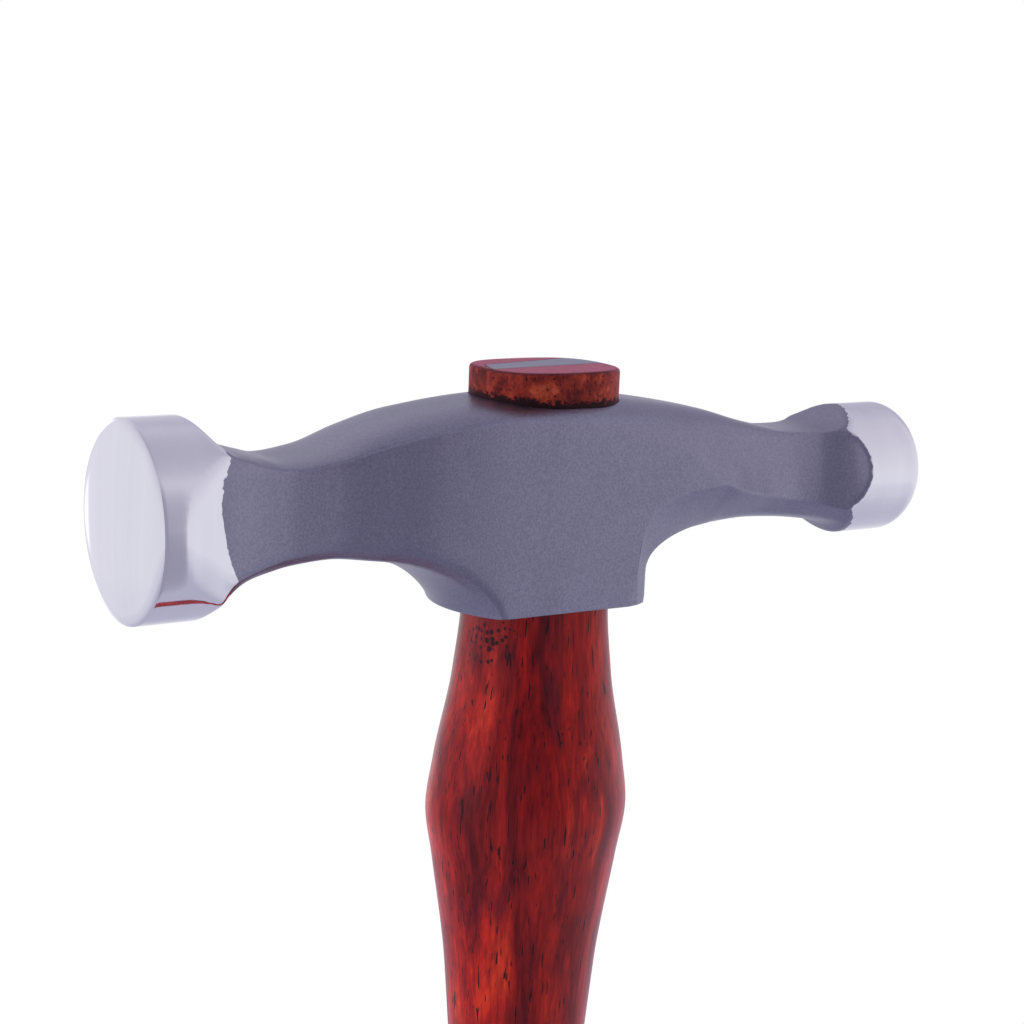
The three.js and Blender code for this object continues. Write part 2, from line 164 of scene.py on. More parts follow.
# %% [markdown]
# ## The upper lines of the head
# The larger face is at -X and the smaller at +X, and places are distances along X from the middle
# of the head. The crest runs along the top. The shoulder is where the crown starts to roll over
# into the side, and the brow is where that roll ends. All three are heights over the common axis
# of the faces, and the shoulder and the side have half widths as well.

# %% Upper lines of the head
CHEEK = 9.8  # half the width between the two flat cheeks
BOSS_LENGTH = 12.0  # half the length of the boss
FLAT_LENGTH = 8.6  # half the length of the flat under it, where its end walls meet the flat
KEEL_WIDTH = 8.6  # half the width of that flat
# The bell is the end with the larger face, the knob the one with the smaller. Reach is the middle
# of the face along X, crown the radius of its dome, rim the width of its rounded edge, and squash
# the depth of that edge as a share of its width.
BELL = {"side": -1, "reach": 59.93, "radius": 12.45, "crown": 110.0, "rim": 1.8, "squash": 0.4}
KNOB = {"side": 1, "reach": 61.9, "radius": 9.35, "crown": 24.0, "rim": 3.1, "squash": 1.0}
# Where the stations of the upper and the lower lines stand along X, from each face inwards.
BELL_UPPER = [55.4, 53.9, 51.85, 50.06, 48.28, 45.89, 42.91, 39.34, 33.97, 27.42, 20.26]
KNOB_UPPER = [50.76, 48.28, 45.81, 43.33, 39.0, 35.28, 30.95, 24.51, 18.57, 13.62, 8.05]
BELL_LOWER = BELL_UPPER[:10]
KNOB_LOWER = [50.76, 48.28, 45.81, 43.33, 39.0, 32.81, 27.86, 24.51]
# Each upper line: its values at the bell's stations, stations over the boss, and its values at the
# knob's. The side's own line swings out past the cheeks, and side_line cuts it off flat there.
UPPER = {
    "crest": (
        [15.2, 14.3, 12.95, 10.22, 8.98, 8.33, 7.5, 6.73, 7.41, 9.78, 11.56],
        [(0, CREST_HEIGHT)],
        [9.45, 7.36, 6.6, 6.46, 6.64, 7.32, 8.36, 10.17, 11.3, 12.06, 12.73],
    ),
    "shoulder": (
        [15.0, 14.1, 12.7, 9.95, 8.6, 7.8, 6.86, 6.35, 6.99, 8.89, 10.41],
        [(-FLAT_LENGTH, 11.56), (0, 11.56)],
        [9.3, 7.3, 6.5, 6.3, 6.36, 6.74, 7.36, 8.4, 9.45, 10.25, 11.05],
    ),
    "brow": (
        [14.8, 13.8, 12.3, 9.6, 8.25, 7.4, 6.48, 5.97, 6.6, 8.38, 10.03],
        [(-FLAT_LENGTH, 10.5), (0, 9.97)],
        [5.7, 4.75, 3.99, 3.32, 2.85, 2.38, 1.9, 0.85, 4.46, 6.17, 7.88],
    ),
    "shoulder_width": (
        [12.15, 11.25, 10.2, 9.15, 8.35, 7.6, 6.99, 6.73, 6.86, 7.62, 8.51],
        [(-BOSS_LENGTH, 8.87), (0, 8.87)],
        [8.74, 6.74, 5.7, 5.23, 5.04, 5.13, 5.6, 6.7, 7.8, 8.3, 8.7],
    ),
    "side": (
        [12.3, 11.42, 10.45, 9.47, 8.65, 7.95, 7.49, 7.24, 7.37, 8.25, 9.27],
        [(-BOSS_LENGTH, 9.66), (-3, CHEEK), (0, CHEEK + BOSS_LENGTH)],
        [10.45, 8.8, 7.45, 6.6, 6.08, 6.5, 7.75, 9.5, 9.81, 10.2, 12.0],
    ),
}


def upper_line(name):
    """One fair line from the bell over the boss to the knob."""
    bell, middle, knob = UPPER[name]
    stations = [(-x, v) for x, v in zip(BELL_UPPER, bell)] + middle + list(zip(KNOB_UPPER, knob))
    return fair_line(stations)


crest_line = upper_line("crest")
shoulder_line = upper_line("shoulder")
brow_line = upper_line("brow")
shoulder_width_line = upper_line("shoulder_width")
full_side = upper_line("side")


def side_line(x):
    """Half width of the head's flat sides. Over the boss they are the cheeks."""
    over_boss = -BOSS_LENGTH < x < KNOB_LOWER[-1]
    return min(full_side(x), CHEEK) if over_boss else full_side(x)


lowest_crest = min(UPPER["crest"][0] + UPPER["crest"][2])
print("crest over the eye:", crest_line(0), "mm, lowest station of the crest:", lowest_crest, "mm")

# %% [markdown]
# ## The lower lines of the head
# The sill is where a flat side ends, the keel where the bevel below it meets the underside, and
# the spine the middle of the underside. They are drops below the axis. A line over X alone can't
# stand upright, as these do where they turn down the ends of the boss. So there each becomes a
# Bezier curve, from the arm's direction into the direction of the wall.

# %% Lower lines of the head
BELL_UNDER = {
    "sill": [2.0, 2.85, 4.0, 5.3, 6.5, 5.97, 5.08, 4.32, 3.81, 4.44],
    "keel": [12.8, 11.9, 10.9, 9.7, 8.0, 6.86, 6.22, 5.59, 5.21, 5.97],
    "keel_width": [9.9, 9.5, 9.0, 8.6, 8.0, 7.11, 6.48, 6.22, 6.35, 6.99],
    "spine": [15.4, 14.8, 13.72, 10.79, 8.89, 7.75, 7.11, 6.48, 6.1, 6.73],
}
KNOB_UNDER = {
    "sill": [6.45, 4.72, 4.05, 3.6, 2.95, 1.8, 0.475, -0.76],
    "keel": [8.85, 6.75, 6.1, 5.75, 5.22, 4.75, 4.75, 5.03],
    "keel_width": [7.6, 5.7, 4.65, 4.18, 3.99, 4.18, 4.65, 5.23],
    "spine": [9.7, 7.65, 7.08, 6.68, 6.18, 5.89, 6.18, 6.55],
}
# How each lower line turns down the end of the boss: where it ends along X, the share of the drop
# where its wall starts, the slope of the arm, the pull of arm and wall on the curve, and its lean.
BELL_TURN = {
    "sill": (BOSS_LENGTH - 0.9, 0.97, 0.09, 0.43, 0.47, 0.52),
    "keel": (BOSS_LENGTH, 0.97, 0.1, 0.47, 0.44, 0.46),
    "spine": (BOSS_LENGTH + 2.65, 0.97, 0.1, 0.47, 0.44, 0.64),
}
KNOB_TURN = {
    "sill": (BOSS_LENGTH - 2.2, 0.6, 0.03, 0.7, 0.72, 0.0),
    "keel": (BOSS_LENGTH, 0.68, 0.07, 0.6, 0.7, 0.15),
    "spine": (BOSS_LENGTH + 1.5, 0.68, 0.07, 0.6, 0.7, 0.15),
}
keel_width_line = fair_line(
    [(-x, v) for x, v in zip(BELL_LOWER, BELL_UNDER["keel_width"])]
    + [(-BOSS_LENGTH, KEEL_WIDTH), (BOSS_LENGTH, KEEL_WIDTH)]
    + list(zip(KNOB_LOWER, KNOB_UNDER["keel_width"]))
)
print("keel under the boss, half width:", keel_width_line(0), "mm")

# %% [markdown]
# ## Sections of the head
# Across an arm a section lies in one plane. Where the lower lines turn down to the boss it fans
# out: its top is still over the arm while its foot already runs down the end of the boss. Sections
# stand closest together where the form is steepest, at the flare of each face.

# %% Sections of the head
ARM_SECTIONS = 84
TURN_SECTIONS = 36
WALL_SECTIONS = 5
UNDER_SECTIONS = 16
PROFILE_STEPS = 400
CLIMB_WEIGHT = 3.0
lower_names = ("sill", "keel", "spine")


def lower_half(end, places, under, turns):
    """The sections of one half: lists of x and of the places of the three lower lines."""
    side = end["side"]
    outward = {name: fair_line(list(zip(places, under[name]))) for name in lower_names}
    barrel_end, root = places[0], places[-1]
    # Steep stretches get more sections, by the length of the crest with its climb counted more.
    steps = np.linspace(barrel_end, root, PROFILE_STEPS)
    heights = np.array([crest_line(side * x) for x in steps])
    lengths = np.hypot(np.diff(steps), CLIMB_WEIGHT * np.diff(heights))
    run = np.concatenate([[0], np.cumsum(lengths)])
    found = []
    for along in np.interp(np.linspace(0, run[-1], ARM_SECTIONS), run, steps):
        found.append([side * along] + [(side * along, -outward[n](along)) for n in lower_names])
    curves = {}
    for name in lower_names:
        wall, start, slope, arm_pull, wall_pull, lean = turns[name]
        wall_top = BOSS_DROP * start
        root_drop = outward[name](root)
        inward = (root - wall) * arm_pull
        climb = (wall_top - root_drop) * wall_pull
        curves[name] = np.array([
            (root, root_drop),
            (root - inward, root_drop + slope * inward),
            (wall + climb * lean, wall_top - climb),
            (wall, wall_top),
        ])
    for t in np.linspace(0, 1, TURN_SECTIONS + 1)[1:]:
        weights = np.array([(1 - t) ** 3, 3 * t * (1 - t) ** 2, 3 * t * t * (1 - t), t ** 3])
        spots = [weights @ curves[name] for name in lower_names]
        x = side * (root + (BOSS_LENGTH - root) * t)
        found.append([x] + [(side * spot[0], -spot[1]) for spot in spots])
    for t in np.linspace(0, 1, WALL_SECTIONS + 1)[1:]:
        x = side * (BOSS_LENGTH + (FLAT_LENGTH - BOSS_LENGTH) * t)
        spots = [curves[name][3] for name in lower_names]
        found.append([x] + [(side * s[0], -(s[1] + (BOSS_DROP - s[1]) * t)) for s in spots])
    return [np.array([f[0], *f[1], *f[2], *f[3]]) for f in found]


left = lower_half(BELL, BELL_LOWER, BELL_UNDER, BELL_TURN)
right = lower_half(KNOB, KNOB_LOWER, KNOB_UNDER, KNOB_TURN)
below = [left[-1] + (right[-1] - left[-1]) * t for t in np.linspace(0, 1, UNDER_SECTIONS + 1)[1:-1]]
sections = left + below + right[::-1]
print(len(sections), "sections between the barrels of the two faces")

# %% [markdown]
# ## Round each section
# Every section is drawn from the crest down one side to the spine and mirrored. Its stretches are
# the crowned top, the shoulder, the flat cheek, the bevel and the bowed underside. Towards the
# small face the cheek ends where the brow meets the sill, and past that the brow runs on inside
# the arm's side.

# %% Points round a section
CROWN, SHOULDER, SIDE, BEVEL, UNDER = 14, 10, 12, 8, 12  # points in each stretch
CROWN_POWER = 4  # how square the crowned top is
CHEEK_END = KNOB_LOWER[-1]
BROW_FADE = (0.93, 0.5)  # the brow's share of the way from shoulder to sill, by cheek and knob
ROLL_END = 34.0  # where the shoulder's roll has faded to a flat facet, along X


def eased(share):
    """A share from 0 to 1 that leaves and arrives softly."""
    share = min(max(share, 0), 1)
    return share * share * (3 - 2 * share)


def front_points(row):
    """The points of one section, from the crest down the near side to the spine."""
    x, sill_x, sill_z, keel_x, keel_z, spine_x, spine_z = row
    shoulder = np.array([x, -shoulder_width_line(x), shoulder_line(x)])
    sill = np.array([sill_x, -side_line(sill_x), sill_z])
    keel = np.array([keel_x, -keel_width_line(keel_x), keel_z])
    brow = np.array([x, -side_line(x), brow_line(x)])
    if x > CHEEK_END:
        fade = eased((x - CHEEK_END) / (KNOB_UPPER[0] - CHEEK_END))
        brow = shoulder + (sill - shoulder) * (BROW_FADE[0] + (BROW_FADE[1] - BROW_FADE[0]) * fade)
    points = []
    for across in np.linspace(0, 1, CROWN + 1)[:-1]:
        height = shoulder[2] + (crest_line(x) - shoulder[2]) * (1 - across ** CROWN_POWER)
        points.append([x, shoulder[1] * across, height])
    # The shoulder rolls down to the brow: it leaves the crown in its direction and comes in plumb.
    fall = (crest_line(x) - shoulder[2]) * CROWN_POWER / -shoulder[1]
    corner_z = max(shoulder[2] - fall * (shoulder[1] - brow[1]), brow[2])
    corner = np.array([x, brow[1], corner_z])
    middle = (shoulder + brow) / 2
    pull = middle + (corner - middle) * (1 - eased((x - BOSS_LENGTH) / (ROLL_END - BOSS_LENGTH)))
    for t in np.linspace(0, 1, SHOULDER + 1)[:-1]:
        points.append(shoulder * (1 - t) ** 2 + pull * 2 * t * (1 - t) + brow * t * t)
    for start, end, count in ((brow, sill, SIDE), (sill, keel, BEVEL)):
        points.extend(start + (end - start) * t for t in np.linspace(0, 1, count + 1)[:-1])
    for across in np.linspace(1, 0, UNDER + 1):
        bowed = 1 - across ** 2
        points.append([
            keel_x + (spine_x - keel_x) * bowed,
            keel[1] * across,
            keel_z + (spine_z - keel_z) * bowed,
        ])
    return np.array(points)


def whole_round(front):
    """The near side's points and their mirror image, once round the section."""
    back = front[1:-1][::-1] * (1, -1, 1)
    return np.concatenate([front, back])


skin = np.array([whole_round(front_points(row)) for row in sections])
print("skin of", skin.shape[0], "sections with", skin.shape[1], "points each")

# %% [markdown]
# ## Turned ends
# Each face is turned and polished on a lathe: a round barrel, a rim rounded into a domed face. The
# ground facets of the arm run out into the barrel in curved edges. So every point of the skin that
# stands further from the axis than the barrel is brought in to it, and the rim and the dome are
# added as sections of a solid of revolution. The rim of the larger face is wide and shallow. Where
# each line along the skin first meets its barrel is kept, because the polish ends there.

# %% Turn the ends
BARREL, RIM, DOME = 8, 16, 12  # sections in each part
BARREL_SHARE = 0.75  # only what lies past this share of the reach is turned


def turned_sections(end, ring):
    """The sections from the end of the skin to the middle of the face."""
    spokes = ring[:, 1:] / np.linalg.norm(ring[:, 1:], axis=1)[:, None]
    dome_middle = end["reach"] - end["crown"]
    rim_out = end["radius"] - end["rim"]
    spread = end["crown"] - end["rim"]
    lean = math.asin(rim_out / spread)
    face_edge = dome_middle + end["crown"] * math.cos(lean)
    depth = end["rim"] * end["squash"]
    corner = face_edge - depth * math.cos(lean)
    outline = [(x, end["radius"]) for x in np.linspace(abs(ring[0, 0]), corner, BARREL + 1)[1:]]
    for angle in np.linspace(math.pi / 2, lean, RIM + 1)[1:]:
        x = corner + depth * math.cos(angle)
        outline.append((x, rim_out + end["rim"] * math.sin(angle)))
    for angle in np.linspace(lean, 0, DOME + 1)[1:]:
        x = dome_middle + end["crown"] * math.cos(angle)
        outline.append((x, end["crown"] * math.sin(angle)))
    return np.array([
        np.column_stack([np.full(len(spokes), end["side"] * x), spokes * r]) for x, r in outline
    ])


for end in (BELL, KNOB):
    outer = skin[:, :, 0] * end["side"] > end["reach"] * BARREL_SHARE
    away = np.linalg.norm(skin[:, :, 1:], axis=2)
    scale = np.where(outer & (away > end["radius"]), end["radius"] / away, 1)
    end["runs_out"] = np.where(scale < 1, np.abs(skin[:, :, 0]), end["reach"]).min(axis=0)
    skin[:, :, 1:] *= scale[:, :, None]
bell_end = turned_sections(BELL, skin[0])[::-1]
knob_end = turned_sections(KNOB, skin[-1])
print("turned sections:", len(bell_end), "and", len(knob_end))

# %% [markdown]
# ## Soft edges
# Blasting and buffing take the sharpness off every edge of a forged head. A Bevel modifier needs
# clean edge loops, which the curved edges at the barrels are not. Averaging each line of the skin
# over a short reach, first round the sections and then along the head, rounds all of them alike
# and leaves the flats flat.

# %% Soften the skin
FINE_STEP = 0.1
EDGE_REACH = 0.3
LONG_REACH = 0.3
TAIL = 4  # reaches past which a point no longer counts


def averaged(line, reach, closed):
    """A line of points averaged over a reach in mm, at the same places along it."""
    steps = np.linalg.norm(np.diff(line, axis=0), axis=1)
    along = np.concatenate([[0], np.cumsum(steps)])
    even = np.arange(0, along[-1], FINE_STEP)
    fine = np.column_stack([np.interp(even, along, line[:, k]) for k in range(3)])
    pad = int(TAIL * reach / FINE_STEP)
    if closed:
        padded = np.concatenate([fine[-pad:], fine, fine[:pad]])
    else:
        before = 2 * fine[0] - fine[1:pad + 1][::-1]
        after = 2 * fine[-1] - fine[-pad - 1:-1][::-1]
        padded = np.concatenate([before, fine, after])
    kernel = np.exp(-0.5 * (np.arange(-pad, pad + 1) * FINE_STEP / reach) ** 2)
    kernel /= kernel.sum()
    done = np.column_stack([np.convolve(padded[:, k], kernel, mode="valid") for k in range(3)])
    return np.column_stack([np.interp(along, even, done[:, k]) for k in range(3)])


for i, ring in enumerate(skin):
    skin[i] = averaged(np.concatenate([ring, ring[:1]]), EDGE_REACH, closed=True)[:-1]
skin = np.concatenate([bell_end[-BARREL:], skin, knob_end[:BARREL]])
for j in range(skin.shape[1]):
    skin[:, j] = averaged(skin[:, j], LONG_REACH, closed=False)
skin = np.concatenate([bell_end[:-BARREL], skin, knob_end[BARREL:]])
print("whole skin:", skin.shape[0], "by", skin.shape[1], "points")

# %% [markdown]
# ## Where the polish ends
# Both ends are buffed to a mirror and the middle stays matt. The wheel reaches further along the
# ridges than into the flats between them, so the edge of the polish bulges out over each flat. It
# is kept on the skin as an attribute, a distance in millimetres from that edge, which the material
# makes ragged. Painting it by hand would do as well, but it would not follow the ridges as closely.

# %% Polish attribute
POLISH_ZERO = 5.0  # the attribute's value on the edge itself, which keeps it above nothing
# Ridges as (stretch round the section, place along X), and the bulge between each and the next.
BELL_POLISH = ([(0, 49.3), (2, 49.0), (3, 47.6), (5, 48.0)], [0.3, 2.2, 0.9])
KNOB_POLISH = ([(0, 51.2), (1, 47.8), (3, 47.95), (5, 50.8)], [0.3, 1.4, 0.6])
FLAT_PART = (1.2, 2.9)  # of the stretches, from within the shoulder's roll to just over the sill
PAST_FLAT = 0.15  # mm between the end of the flat side and the start of the polish
STRETCHES = (CROWN, SHOULDER, SIDE, BEVEL, UNDER)
stretch = np.concatenate([
    np.linspace(i, i + 1, n + 1)[:-1] for i, n in enumerate(STRETCHES)
] + [[len(STRETCHES)]])
stretch = np.concatenate([stretch, stretch[1:-1][::-1]])


def polish_edge(ridges, bulges):
    """Where the polish starts along X, for every point round a section."""
    starts, places = zip(*ridges)
    base = np.interp(stretch, starts, places)
    for low, high, bulge in zip(starts, starts[1:], bulges):
        share = np.clip((stretch - low) / (high - low), 0, 1)
        base = base + bulge * np.sin(np.pi * share)
    return base


# On the smaller face's flat sides the polish stops where the flat runs out into the barrel.
reach = np.abs(skin[:, :, 0])
flat_side = (stretch > FLAT_PART[0]) & (stretch < FLAT_PART[1])
knob_edge = np.where(flat_side, KNOB["runs_out"] + PAST_FLAT, polish_edge(*KNOB_POLISH))
edge = np.where(skin[:, :, 0] < 0, polish_edge(*BELL_POLISH), knob_edge)
print("flat side runs out at", np.round(KNOB["runs_out"][CROWN:CROWN + SHOULDER + SIDE + 1:3], 1))
polish = np.clip(reach - edge + POLISH_ZERO, 0, 2 * POLISH_ZERO)
print("polished share of the skin's points:", round(float((polish > POLISH_ZERO).mean()), 2))

# %% [markdown]
# ## The handle's sections
# The handle is oval. Below the head it swells, narrows to a waist, fills out again to the grip and
# is rounded at the butt. The tenon above is squarer, to fill the eye. Half sizes along X and along
# Y follow fair lines over the height above the head's underside.

# %% Stations of the handle
HANDLE_HEIGHTS = [TENON_RISE, 0, -9.975, -22.23, -28.5, -35.715, -51.81, -84, -133, -182, -226]
HANDLE_WIDTHS = [9.6, 9.55, 10.595, 13.35, 14.3, 13.16, 10.652, 8.6, 11.9, 15.2, 13.8]
HANDLE_DEPTHS = [8.0, 7.9, 8.67, 10.7, 11.4, 10.64, 8.968, 7.6, 10.5, 13.38, 12.2]
BUTT_ROUNDING = 11.0  # height of the butt's rounding, down to a flat of the next two half sizes
BUTT_WIDTH = 6.0
BUTT_DEPTH = 5.0
SWELL_DROP = 28.5  # from the head's underside down to the widest place of the swell
TENON_POWER = 2.8  # how square the oval is, where 2 is an ellipse
GRIP_POWER = 2.1
HANDLE_SIDES = 96
width_line = fair_line(list(zip(HANDLE_HEIGHTS, HANDLE_WIDTHS)))
depth_line = fair_line(list(zip(HANDLE_HEIGHTS, HANDLE_DEPTHS)))


def oval(height, grow):
    """The handle's outline at a height above the underside of the head, grown by a margin."""
    into = min(max((BUTT_ROUNDING - UNDERSIDE - height) / BUTT_ROUNDING, 0), 1)
    full = math.sqrt(1 - into ** 2)
    width = BUTT_WIDTH + (width_line(height) - BUTT_WIDTH) * full + grow
    depth = BUTT_DEPTH + (depth_line(height) - BUTT_DEPTH) * full + grow
    power = GRIP_POWER + (TENON_POWER - GRIP_POWER) * eased((height + SWELL_DROP) / SWELL_DROP)
    angles = np.linspace(0, 2 * math.pi, HANDLE_SIDES, endpoint=False)
    cosines, sines = np.cos(angles), np.sin(angles)
    return np.column_stack([
        width * np.sign(cosines) * np.abs(cosines) ** (2 / power),
        depth * np.sign(sines) * np.abs(sines) ** (2 / power),
        np.full(HANDLE_SIDES, height + UNDERSIDE),
    ])


def shrunk(ring, share):
    """An outline drawn in towards the handle's axis."""
    return ring * (share, share, 1)


print("tenon at its end, half sizes:", width_line(TENON_RISE), depth_line(TENON_RISE), "mm")

# %% [markdown]
# ## The head
# The skin becomes a mesh and moves up to its height on the handle. The eye is a long oval hole: a
# second sheet, wrapped round the tenon's outline and a little larger, is the tool that cuts it.

# %% Make the head
EYE_GAP = 0.1  # mm round the tenon, a fine dark line, because the tenon is pulled up tight
EYE_RINGS = 8
OVERRUN = 2.0  # how far a cutting tool stands out of what it cuts
HEAD_CREASE = 40  # degrees past which an edge stays sharp
head = wrap_sheet("forged_head", skin + (-EYE_OFFSET, 0, HEAD_AXIS), [("polish", polish)])
eye_heights = np.linspace(-OVERRUN, TENON_RISE + OVERRUN, EYE_RINGS)
eye_rings = [oval(height, EYE_GAP) for height in eye_heights]
eye_rings = [shrunk(eye_rings[0], 0)] + eye_rings + [shrunk(eye_rings[-1], 0)]
cut(head, wrap_sheet("eye_tool", np.array(eye_rings)))
smooth(head, HEAD_CREASE)
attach(head, "root")
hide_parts("hammer_head")
print("head:", len(head.data.polygons), "faces")

# %% [markdown]
# ## The handle
# A maker rasps the handle from one blank, and here one sheet runs from the rounded butt to the end
# of the tenon. The finish has run into the gap at the foot of the tenon and stained it, so each
# point keeps its height above the head's top as an attribute for the material.

# %% Make the handle's blank
SHAFT_RINGS = 250
TENON_RINGS = 50
BUTT_RINGS = 12
EDGE_RINGS = 5
CLOSE_FROM = 22.0  # over the underside the rings stand closer from here on, to hold the stain
TENON_EDGE = 0.5  # radius of the tenon's sanded edge
BUTT_CLOSING = (0, 0.35, 0.7)  # shares of the last outline that close the butt and the tenon
TENON_CLOSING = (0.97, 0.85, 0.7, 0.5, 0.25, 0)
FAR_FROM_HEAD = 99.0
heights = []
for angle in np.linspace(0, math.pi / 2, BUTT_RINGS + 1)[:-1]:
    heights.append(-UNDERSIDE + BUTT_ROUNDING * (1 - math.cos(angle)))
heights.extend(np.linspace(BUTT_ROUNDING - UNDERSIDE, CLOSE_FROM, SHAFT_RINGS))
heights.extend(np.linspace(CLOSE_FROM, TENON_RISE - TENON_EDGE, TENON_RINGS)[1:])
rings = [oval(height, 0) for height in heights]
for angle in np.linspace(0, math.pi / 2, EDGE_RINGS + 1)[1:]:
    rise = TENON_RISE - TENON_EDGE * (1 - math.sin(angle))
    rings.append(oval(rise, -TENON_EDGE * (1 - math.cos(angle))))
rings = [shrunk(rings[0], share) for share in BUTT_CLOSING] + rings
rings += [shrunk(rings[-1], share) for share in TENON_CLOSING]
rings = np.array(rings)


def top_of_head(x, y):
    """Height of the head's crowned top over the butt."""
    along = x + EYE_OFFSET
    across = min(abs(y) / shoulder_width_line(along), 1)
    rise = (crest_line(along) - shoulder_line(along)) * (1 - across ** CROWN_POWER)
    return HEAD_AXIS + shoulder_line(along) + rise


stain = np.full(rings.shape[:2], FAR_FROM_HEAD)
for i, ring in enumerate(rings):
    if ring[0, 2] > HEAD_AXIS:
        stain[i] = [z - top_of_head(x, y) for x, y, z in ring]
handle = wrap_sheet("shaped_handle", rings, [("stain", stain)])
select_only(handle)
bpy.ops.object.duplicate()
tenon_copy = bpy.context.object
print("handle blank:", len(handle.data.polygons), "faces")

# %% [markdown]
# ## The wedge
# A flat steel wedge is driven into a saw kerf in the tenon, a little askew, and spreads it in the
# eye. It is a cube whose corners move to those of a tapered slab with skewed ends. A Taper would
# slope all sides alike, and this wedge tapers down its depth and widens along its length.

# %% Slab for the wedge
WEDGE_DEPTH = 21.0  # how deep the wedge goes into the tenon
WEDGE_TOP = 4.9  # its thickness at the top, and at the tip
WEDGE_TIP = 1.2
WEDGE_INSET = 1.1  # from the tenon's left end in to the wedge's
WEDGE_OFFSET = 1.7  # from the tenon's middle line back to the wedge's
WEDGE_TURN = math.radians(9)  # askew in plan
WEDGE_SKEW = math.tan(math.radians(26))  # slant of its ends
WEDGE_GAP = 0.14  # clearance in its pocket
WEDGE_WIDENS = (0.8, 1.6)  # shares of the thickness at its left and its right end
SLAB_LENGTH = 32.0  # past the tenon's other end, where a copy of the tenon trims it
KERF_WIDTH = 1.6
KERF_DEPTH = 25.0
CREASE = 30  # degrees past which an edge of the wood and the wedge stays sharp
tenon_width = HANDLE_WIDTHS[0]


def slab(name, half_top, half_foot, depth, start, skew):
    """A cube shaped to a slab along X that widens along it, stands over the tenon and is askew."""
    bpy.ops.object.select_all(action="DESELECT")
    bpy.ops.mesh.primitive_cube_add(size=2)
    piece = bpy.context.object
    piece.name = name
    slope = (half_top - half_foot) / depth
    for vertex in piece.data.vertices:
        end, flank, level = vertex.co
        y = flank * (half_top + slope * OVERRUN if level > 0 else half_foot)
        if skew:
            y *= WEDGE_WIDENS[1] if end > 0 else WEDGE_WIDENS[0]
        x = start + (SLAB_LENGTH if end > 0 else 0) + y * skew
        z = OVERRUN if level > 0 else -depth
        vertex.co = Vector((x, y, z)) * MM
    lift = Matrix.Translation(Vector((0, WEDGE_OFFSET, UNDERSIDE + TENON_RISE)) * MM)
    piece.data.transform(lift @ Matrix.Rotation(WEDGE_TURN, 4, "Z"))
    return piece


print("wedge from", WEDGE_TOP, "to", WEDGE_TIP, "mm thick over", WEDGE_DEPTH, "mm")

# %% [markdown]
# ## Driving the wedge
# The same slab, grown by the clearance, cuts the wedge's pocket, and a thin parallel one cuts the
# kerf. The wedge itself is trimmed by a copy of the uncut handle, which leaves it flush with the
# wood all round, as the grinding belt did.

# %% Cut the kerf and drive the wedge
half_top, half_tip = WEDGE_TOP / 2, WEDGE_TIP / 2
start = WEDGE_INSET - tenon_width
pocket = slab(
    "pocket_tool", half_top + WEDGE_GAP, half_tip + WEDGE_GAP, WEDGE_DEPTH + WEDGE_GAP,
    start - WEDGE_GAP, WEDGE_SKEW,
)
slit = slab("slit_tool", KERF_WIDTH / 2, KERF_WIDTH / 2, KERF_DEPTH, start - WEDGE_GAP, 0)
cut(handle, pocket)
cut(handle, slit)
smooth(handle, CREASE)
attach(handle, "root")
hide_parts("handle")

wedge = slab("driven_wedge", half_top, half_tip, WEDGE_DEPTH, start, WEDGE_SKEW)
cut(wedge, tenon_copy, "INTERSECT")
smooth(wedge, CREASE)
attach(wedge, "root")
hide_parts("wedge")
print("handle:", len(handle.data.polygons), "faces, wedge:", len(wedge.data.polygons), "faces")

# %% [markdown]
# ## Nodes for the finishes
# Colours are written as they look on a screen and turned to linear once. One small function adds a
# node with its settings, what feeds it and, for a colour ramp, its stops. All patterns read Object
# coordinates, so that they lie still in the steel and the wood whatever way the hammer is turned.

# %% Node and colour helpers
# A Mix node has sockets of one name for numbers and for colours, so its colours go by number.
LOWER, OVER, MIXED = 6, 7, 2


def linear(code):
    """A hex colour as the linear colour that a shader takes."""
    channels = [int(code[i:i + 2], 16) / 255 for i in (1, 3, 5)]
    return [c / 12.92 if c <= 0.04045 else ((c + 0.055) / 1.055) ** 2.4 for c in channels] + [1.0]


def add_node(tree, kind, inputs=(), stops=(), **settings):
    """Adds a node. Inputs pair a socket with a value, or with the output that feeds it. Stops are
    the places and hex colours of a colour ramp."""
    made = tree.nodes.new(kind)
    for name, value in settings.items():
        setattr(made, name, value)
    for socket, value in dict(inputs).items():
        if isinstance(value, bpy.types.NodeSocket):
            tree.links.new(value, made.inputs[socket])
        else:
            made.inputs[socket].default_value = value
    for _ in stops[2:]:  # a new ramp has two stops
        made.color_ramp.elements.new(0.5)
    for i, (place, code) in enumerate(stops):
        made.color_ramp.elements[i].position = place
        made.color_ramp.elements[i].color = linear(code)
    return made


def new_material(name):
    """A material with no nodes yet, its tree, and the piece's Object coordinates."""
    material = bpy.data.materials.new(name)
    material.use_nodes = True
    tree = material.node_tree
    tree.nodes.clear()
    return material, tree, add_node(tree, "ShaderNodeTexCoord").outputs["Object"]


def dress(piece, material):
    """Gives a piece one material."""
    piece.data.materials.clear()
    piece.data.materials.append(material)


print("mid grey in linear:", round(linear("#808080")[0], 3))

# %% [markdown]
# ## Blasted and polished steel
# The head is carbon steel. Glass beads have matted its middle to an even grey with a fine grain,
# and both ends are buffed to a mirror over the blasting. Two materials on two sets of faces would
# meet in steps along the mesh. So one material holds both finishes, and the polish attribute says
# where each lies. Noise added to it makes the edge of the polish ragged.

